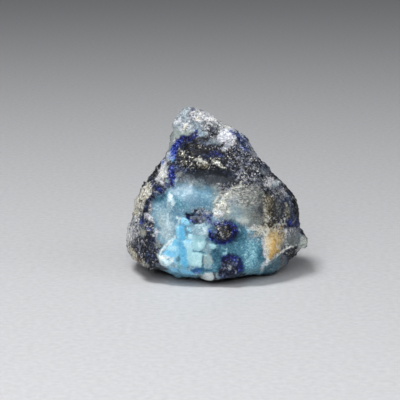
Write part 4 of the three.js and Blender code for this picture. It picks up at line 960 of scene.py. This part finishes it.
SWELLS = [
    # height in mm (below 0 for a hollow or crack), fade, path on the show face
    (0.5, 0.9, [(-16.4, 6.4, 0.4), (-15.6, 5, 0.5), (-14, 3.9, 0.5), (-12.4, 3.1, 0.4)]),
    (-0.8, 0.9, [(6.6, 26.6, 0.2), (7.6, 25.2, 0.4), (8.4, 24, 0.4), (8.6, 23.2, 0.2)]),
    (0.35, 0.8, [(10, 22, 0.4)]),
    (-0.65, 0.9, [(-12.2, 21.4, 0.3), (-13.4, 19.6, 0.5), (-14.4, 18, 0.4), (-15.2, 16.4, 0.2)]),
    (0.65, 0.8, [(-16, 13.2, 0.3), (-16.7, 11.6, 0.5), (-17, 10.4, 0.4)]),
    (0.4, 0.6, [(-8.2, 29.6, 0.2), (-8, 31, 0.3), (-7.2, 32.3, 0.2)]),
    (-0.7, 0.8, [(-3.8, 33.4, 0.3), (-2.4, 32.9, 0.3), (0.6, 31.2, 0.4), (2.2, 30.2, 0.2)]),
    (-0.5, 0.6, [(-10.4, 24.6, 0.3), (-10, 24, 0.3)]),
    (0.35, 0.5, [(-12.9, 20.1, 0.3)]),
    (0.5, 0.6, [(-12.4, 2.5, 0.3), (-10.6, 1.9, 0.4), (-9, 1.4, 0.4), (-7.2, 1, 0.3)]),
    (0.25, 0.5, [(-6.2, 33, 0.3), (-5, 33.2, 0.3)]),
    (-0.25, 0.4, [(-14.1, 18.9, 0.2)]),
    (0.55, 0.7, [(8.2, 1.4, 0.4), (9.6, 1.6, 0.5), (11.2, 2.4, 0.4)]),
    (-0.55, 0.7, [(16.2, 6.2, 0.2), (15.4, 5.2, 0.3), (14.4, 4, 0.4)]),
    (0.3, 0.5, [(-6.6, 22.6, 0.5), (-3.4, 22.4, 0.6), (0.4, 22.2, 0.5)]),
    (-0.35, 0.7, [(-5.4, 20.6, 0.2), (-2, 20.4, 0.4), (2.2, 20.2, 0.4)]),
    (0.32, 0.5, [(3.4, 17.8, 0.2), (2, 16.8, 0.3), (1.4, 15.6, 0.4), (1.2, 14.2, 0.4)]),
    (0.28, 0.5, [(-0.4, 13.1, 0.4), (0.6, 12.9, 0.4)]),
    (-0.4, 1.2, [(4.2, 13.4, 0.8), (6.6, 13, 1)]),
    (-0.3, 0.6, [(8.3, 14.2, 0.3), (8.4, 12.8, 0.3)]),
    (0.28, 0.4, [(9.4, 15.4, 0.2), (9.4, 13.2, 0.3), (9.7, 11.2, 0.3)]),
    (0.35, 0.7, [(11.6, 15, 0.5), (11.6, 13.2, 0.6)]),
    (-0.3, 0.4, [(10.5, 15, 0.1), (10.6, 13, 0.1), (10.9, 11.6, 0.2)]),
    (-0.25, 0.35, [(12.6, 15.2, 0.1), (12.6, 13.2, 0.12)]),
    (0.3, 0.5, [(1.2, 9.7, 1.2)]),
    (-0.3, 0.4, [(-0.2, 7.8, 0.1), (1.4, 7.2, 0.15), (3.2, 7.9, 0.15), (3.9, 9.4, 0.1)]),
    (0.22, 0.5, [(2.5, 3.2, 1.2)]),
    (-0.32, 0.3, [(-5.2, 12.3, 0.1), (-3.2, 12, 0.3), (-1.6, 11.9, 0.2)]),
    (-0.35, 0.14, [(0.5, 25.7, 0.05), (1.1, 25.9, 0.06), (1.6, 26.7, 0.05), (2.2, 26.7, 0.04)]),
    (0.3, 0.4, [(1.4, 28.2, 0.5), (2.2, 27.6, 0.6)]),
    (0.3, 0.3, [(-0.6, 26.4, 0.4), (0.2, 26.3, 0.3)]),
    (0.25, 0.2, [(-8.1, 8.5, 0.1), (-9.4, 7.1, 0.14), (-10.2, 5.8, 0.16), (-10.5, 4.7, 0.3),
                 (-9.4, 3.4, 0.2)]),
    (-0.2, 0.12, [(-7.25, 5, 0.05), (-7.1, 4, 0.1), (-6.8, 3.2, 0.1)]),
    (-0.18, 0.12, [(-5.7, 11.2, 0.04), (-5.6, 9.4, 0.05), (-5.5, 7.8, 0.05)]),
    (-0.2, 0.12, [(-2.5, 6.2, 0.05), (-2.5, 4.6, 0.05), (-2.6, 3.2, 0.06)]),
    (-0.22, 0.14, [(-0.8, 5.6, 0.06), (-0.6, 4.2, 0.08), (-0.7, 3, 0.08)]),
    (-0.35, 0.2, [(-12.4, 16, 0.1), (-13, 14.8, 0.2), (-13.6, 13, 0.12), (-14, 12, 0.1)]),
    (0.25, 0.2, [(-8.5, 21, 0.3), (-8.6, 18.8, 0.3)]),
    (0.3, 0.3, [(-13.2, 17.6, 0.5), (-14.4, 15.2, 0.4)]),
    (-0.3, 0.25, [(9.15, 8, 0.06), (8.8, 6.4, 0.08), (8.9, 4.8, 0.06)]),
    (0.25, 0.5, [(10.6, 7.4, 0.6), (10.4, 5.8, 0.4)]),
    (-0.2, 0.1, [(-2.9, 2.4, 0.04), (-1.2, 2.3, 0.04)]),
]

above_table = points[:, 2]
# Painted shadow: the lowest strip of the skin is painted near-black charcoal where the lump meets the table.
cover_with("charcoal", -0.6, smooth_step(*PAINTED_SHADOW_BAND, above_table), 1.0)
weights /= weights.sum(1)[:, None]
grain_relief = weights @ np.array([MINERALS[name].grains for name in NAMES])
crumb_relief = weights @ np.array([MINERALS[name].crumbs for name in NAMES])
ripple_relief = weights @ np.array([MINERALS[name].ripples for name in NAMES])

relief = grain_relief * (grains(drawn_out, 0.95, 500)[0] * 1.3 - 0.1)
relief += grain_relief * 0.6 * grains(drawn_out, 0.5, 600)[0]
relief += crumb_relief * ripple(points, 0.42, 700)
relief += ripple_relief * (ripple(points, 3.2, 800) + 0.4 * ripple(points, 1.3, 810))
for swell, fade, path in SWELLS:
    relief += swell * stroke(path, fade) * beside_face

fibre_share = weights[:, NAMES.index("fibre")] + 0.6 * weights[:, NAMES.index("cream")]
along_fibres = points * [0.5, 1.0, 1.0] + [0, 0, 0.25] * points[:, :1]
relief += fibre_share * 0.04 * ripple(along_fibres, 0.4, 900)
relief += plate_height

finished = points + normals * (relief * smooth_step(*RELIEF_EASE, above_table))[:, None]
undercut = smooth_step(*UNDERCUT_EASE, above_table)
finished[:, :2] *= 1 - undercut[:, None] * UNDERCUT_SHARE

# Left of its front corner the foot runs back, straight away from the eye.
around = np.degrees(np.arctan2(points[:, 1], points[:, 0])) % 360
left_of_corner = smooth_step(*FOOT_RUN_LEFT_END, around) * smooth_step(*FOOT_RUN_CORNER, around)
run_back = left_of_corner * smooth_step(*FOOT_RUN_EASE, above_table) * FOOT_RUN
finished -= toward_eye * run_back[:, None]
finished[:, 2] = np.where(above_table < BREAK_TOP, 0, np.maximum(finished[:, 2], 0))
set_skin(finished)

for column, name in enumerate(NAMES):
    layer = skin.attributes.new(name, "FLOAT", "POINT")
    layer.data.foreach_set("value", weights[:, column].astype(np.float32))
pale = skin.attributes.new("paleness", "FLOAT", "POINT")
pale.data.foreach_set("value", shades.astype(np.float32))

skin.transform(Matrix.Scale(MM, 4))
skin.shade_smooth()
skin.update()


# ---- The minerals' finish ---------------------------------------------------------------------
# One material holds all the minerals, each with its own colours, grain and gloss, shared out by the
# amounts laid above. The blue, green and smoky ones let light in, as waxy stone does, chalk and snow
# a little, and pyrite has a gloss near that of metal.

def linear(colour):
    """A colour in steps of 0 to 255, as the linear values that a node's socket takes."""
    return tuple((c / 255 / 12.92 if c <= 10 else ((c / 255 + 0.055) / 1.055) ** 2.4) for c in colour) + (1,)


class Wire:
    """A socket of the material being made. Sums and products of wires add Math or Vector Math nodes."""

    tree = None

    def __init__(self, socket):
        self.socket = socket

    @staticmethod
    def node(kind, settings=None, sockets=None, out=0):
        """Any node: its settings are set first, then its sockets' values or links."""
        made = Wire.tree.nodes.new("ShaderNode" + kind)
        for name, value in (settings or {}).items():
            if name == "stops":
                ramp = made.color_ramp
                while len(ramp.elements) < len(value):
                    ramp.elements.new(0.5)
                for element, (place, colour) in zip(ramp.elements, value):
                    element.position = place
                    element.color = linear(colour)
            else:
                setattr(made, name, value)
        for name, value in (sockets or {}).items():
            if isinstance(value, Wire):
                Wire.tree.links.new(value.socket, made.inputs[name])
            else:
                made.inputs[name].default_value = value
        return Wire(made.outputs[out]) if len(made.outputs) else made

    @staticmethod
    def joined(operation, first, second):
        """Two wires, or a wire and a number. A colour and a plain value can only be multiplied."""
        coloured = [isinstance(w, Wire) and w.socket.type != "VALUE" for w in (first, second)]
        if not any(coloured):
            return Wire.node("Math", {"operation": operation}, {0: first, 1: second})
        if all(coloured):
            return Wire.node("VectorMath", {"operation": operation}, {0: first, 1: second})
        if coloured[1]:
            first, second = second, first
        return Wire.node("VectorMath", {"operation": "SCALE"}, {0: first, "Scale": second})

    def __add__(self, other):
        return Wire.joined("ADD", self, other)

    def __radd__(self, other):
        return Wire.joined("ADD", other, self)

    def __sub__(self, other):
        return Wire.joined("SUBTRACT", self, other)

    def __rsub__(self, other):
        return Wire.joined("SUBTRACT", other, self)

    def __mul__(self, other):
        return Wire.joined("MULTIPLY", self, other)

    def __rmul__(self, other):
        return Wire.joined("MULTIPLY", other, self)

    def between(self, low, high):
        """0 at low, 1 at high, eased."""
        return Wire.node("MapRange", {"interpolation_type": "SMOOTHSTEP"},
                         {"Value": self, "From Min": low, "From Max": high})


stone = bpy.data.materials.new("lapis rock")
stone.use_nodes = True
stone.node_tree.nodes.clear()
Wire.tree = stone.node_tree

place = Wire.node("TexCoord", out="Object")
in_mm = Wire.node("VectorMath", {"operation": "SCALE"}, {0: place, "Scale": 1 / MM})


def noise(size, detail, where=in_mm, roughness=0.55):
    return Wire.node("TexNoise", {}, {"Vector": where, "Scale": 1 / size, "Detail": detail,
                                      "Roughness": roughness}, out="Fac")


def grain(size, where=in_mm):
    colour = Wire.node("TexVoronoi", {}, {"Vector": where, "Scale": 1 / size}, out="Color")
    return Wire.node("SeparateColor", {}, {"Color": colour}, out="Red")


fibre_way = Wire.node("Mapping", {}, {"Vector": in_mm, "Rotation": (0, math.radians(14), 0),
                                      "Scale": (0.4, 1, 1)})
crumbs = noise(0.38, 4, roughness=0.75) - 0.5
mottle = noise(2.3, 3) - 0.5
blotches = noise(0.9, 2) - 0.5
tremble = Wire.node("TexNoise", {}, {"Vector": in_mm, "Scale": 2, "Detail": 2}, out="Color")
shaken = in_mm + tremble * 0.5
facets = grain(0.34, shaken) - 0.5
small_facets = grain(0.23, shaken) - 0.5
threads = Wire.node("Math", {"operation": "ABSOLUTE"}, {0: noise(0.8, 3) - 0.5}).between(0.022, 0.004)
strands = noise(0.3, 3, fibre_way) - 0.5
specks = grain(0.17, shaken).between(0.8, 0.88) * noise(0.9, 2).between(0.42, 0.58)
paleness = Wire.node("Attribute", {"attribute_name": "paleness"}, out="Fac")

grainy = crumbs * 1.1 + facets * 0.32 + small_facets * 0.45 + mottle * 0.5 + blotches * 0.5
stringy = strands * 1.9 + crumbs * 0.85 + small_facets * 0.4 + blotches * 0.3
frosted = crumbs * 1.2 + mottle * 0.4 + blotches * 0.35 + small_facets * 0.5 + specks * 0.4 - 0.04

textures = dict.fromkeys(NAMES, grainy)
textures.update(dict.fromkeys(("fibre", "cream"), stringy))
textures.update(dict.fromkeys(("sky", "ice", "cyan", "azure", "mint", "teal", "smoke", "shade"), frosted))
colour = None
rough = None
share = {}
for name, mineral in MINERALS.items():
    share[name] = Wire.node("Attribute", {"attribute_name": name}, out="Fac")
    tone = textures[name] * mineral.graininess + paleness + 0.5
    stops = [(0.08, mineral.dark), (0.5, mineral.body), (0.92, mineral.pale)]
    own = Wire.node("ValToRGB", {"stops": stops}, {"Fac": tone}) * share[name]
    own_rough = share[name] * mineral.roughness
    colour = own if colour is None else colour + own
    rough = own_rough if rough is None else rough + own_rough

# Painted glints: tiny pale specks and thin bright threads mixed into the dark rock's colour, as painted
# highlights.
painted_glitter = grain(0.22, shaken).between(0.89, 0.93)
dark_rock = (share["charcoal"] + share["night"] * 0.15 + share["olive"] + share["pyrite"]
             + share["granite"] * 0.8)
painted_thread_glints = threads * noise(1.1, 1).between(0.5, 0.66) * 0.7
painted_glint = (painted_glitter + painted_thread_glints) * dark_rock * noise(1.3, 1).between(0.4, 0.6)
colour = Wire.node("Mix", {"data_type": "RGBA"},
                   {"Factor": painted_glint * 0.75, "A": colour, "B": linear((232, 232, 228))}, out="Result")
rough = rough + crumbs * 0.25 - painted_glint * 0.15
metal = share["pyrite"] * (crumbs * 2 + facets * 0.8 + 0.45).between(0.35, 0.7) * 0.75

waxy = share["sky"] + share["ice"] * 0.7 + share["cyan"] + share["azure"] + share["mint"] + share["smoke"]
clear = waxy + share["teal"] * 0.6 + share["chalk"] * 0.3 + share["snow"] * 0.4
coarse = 1 - waxy * 0.8
bumps = (crumbs * 0.10 + facets * 0.035 + small_facets * 0.03) * coarse + (noise(0.3, 2) - 0.5) * 0.02
bumpy = Wire.node("Bump", {}, {"Strength": 0.9, "Distance": MM, "Height": bumps}, out="Normal")

hard = Wire.node("BsdfPrincipled", {}, {"Base Color": colour, "Roughness": rough, "Metallic": metal,
                                        "Normal": bumpy, "Specular IOR Level": 0.22})
soft = Wire.node("BsdfPrincipled", {}, {"Base Color": colour, "Roughness": rough, "Normal": bumpy,
                                        "Subsurface Weight": 0.5, "Subsurface Radius": (0.6, 0.9, 1.0),
                                        "Subsurface Scale": 1.2 * MM, "Coat Weight": 0.08,
                                        "Coat Roughness": 0.32})
rock = Wire.node("MixShader", {}, {"Fac": clear, 1: hard, 2: soft})
Wire.node("OutputMaterial", {}, {"Surface": rock})

skin.materials.clear()
skin.materials.append(stone)
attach(lump, "root")
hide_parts("afghanite_rock")


# ---- The table --------------------------------------------------------------------------------
# A plain pale board with a faint, even tooth, under the whole view.

TABLE_HALF = 1.6

board = bpy.data.meshes.new("table_top")
board_corners = [(x * TABLE_HALF, y * TABLE_HALF, 0) for x, y in ((-1, -1), (1, -1), (1, 1), (-1, 1))]
board.from_pydata(board_corners, [], [(0, 1, 2, 3)])
table = bpy.data.objects.new("table_top", board)
bpy.context.scene.collection.objects.link(table)
pale_board = bpy.data.materials.new("pale board")
pale_board.use_nodes = True
pale_board.node_tree.nodes.clear()
Wire.tree = pale_board.node_tree
place = Wire.node("TexCoord", out="Object")
tooth = Wire.node("TexNoise", {}, {"Vector": place, "Scale": 900, "Detail": 2}, out="Fac")
tone = Wire.node("ValToRGB", {"stops": [(0.3, (205, 206, 209)), (0.7, (215, 216, 219))]}, {"Fac": tooth})
tooth_bump = Wire.node("Bump", {}, {"Strength": 0.3, "Distance": 0.2 * MM, "Height": tooth}, out="Normal")
top = Wire.node("BsdfPrincipled", {}, {"Base Color": tone, "Roughness": 0.65, "Normal": tooth_bump})
Wire.node("OutputMaterial", {}, {"Surface": top})
board.materials.append(pale_board)


# ---- Studio light and camera ------------------------------------------------------------------
# A soft light above, a little to the left, a larger one in front, a weak one on the right, and faint
# daylight around. The camera looks from where the show face's elevation is read.

middle = (Vector(cad_box[0]) + Vector(cad_box[1])) / 2


def soft_light(name, place, size, power, tint):
    lamp = bpy.data.lights.new(name, "AREA")
    lamp.shape = "DISK"
    lamp.size = size
    lamp.energy = power
    lamp.color = tint
    holder = bpy.data.objects.new(name, lamp)
    holder.location = place
    holder.rotation_euler = (middle - Vector(place)).to_track_quat("-Z", "Y").to_euler()
    bpy.context.scene.collection.objects.link(holder)


soft_light("overhead light", (-0.12, -0.10, 0.41), 0.14, 1.25, (1.0, 0.995, 0.985))
soft_light("front light", (-0.06, -0.33, 0.26), 0.30, 0.80, (1.0, 0.99, 0.98))
soft_light("side light", (0.34, -0.20, 0.30), 0.30, 0.30, (0.96, 0.98, 1.0))

daylight = bpy.data.worlds.new("studio daylight")
daylight.use_nodes = True
daylight.node_tree.nodes["Background"].inputs["Color"].default_value = (0.93, 0.96, 1.0, 1)
daylight.node_tree.nodes["Background"].inputs["Strength"].default_value = 0.10
bpy.context.scene.world = daylight
bpy.context.scene.view_settings.view_transform = "Standard"

aim = Vector(EYE_AIM) * MM
lens = bpy.data.cameras.new("camera")
lens.sensor_width = 36
lens.lens = 143.3
lens.clip_start = 0.01
lens.clip_end = 10
camera = bpy.data.objects.new("camera", lens)
camera.location = aim + Vector(toward_eye) * EYE_DISTANCE * MM
camera.rotation_euler = (aim - camera.location).to_track_quat("-Z", "Y").to_euler()
bpy.context.scene.collection.objects.link(camera)
bpy.context.scene.camera = camera
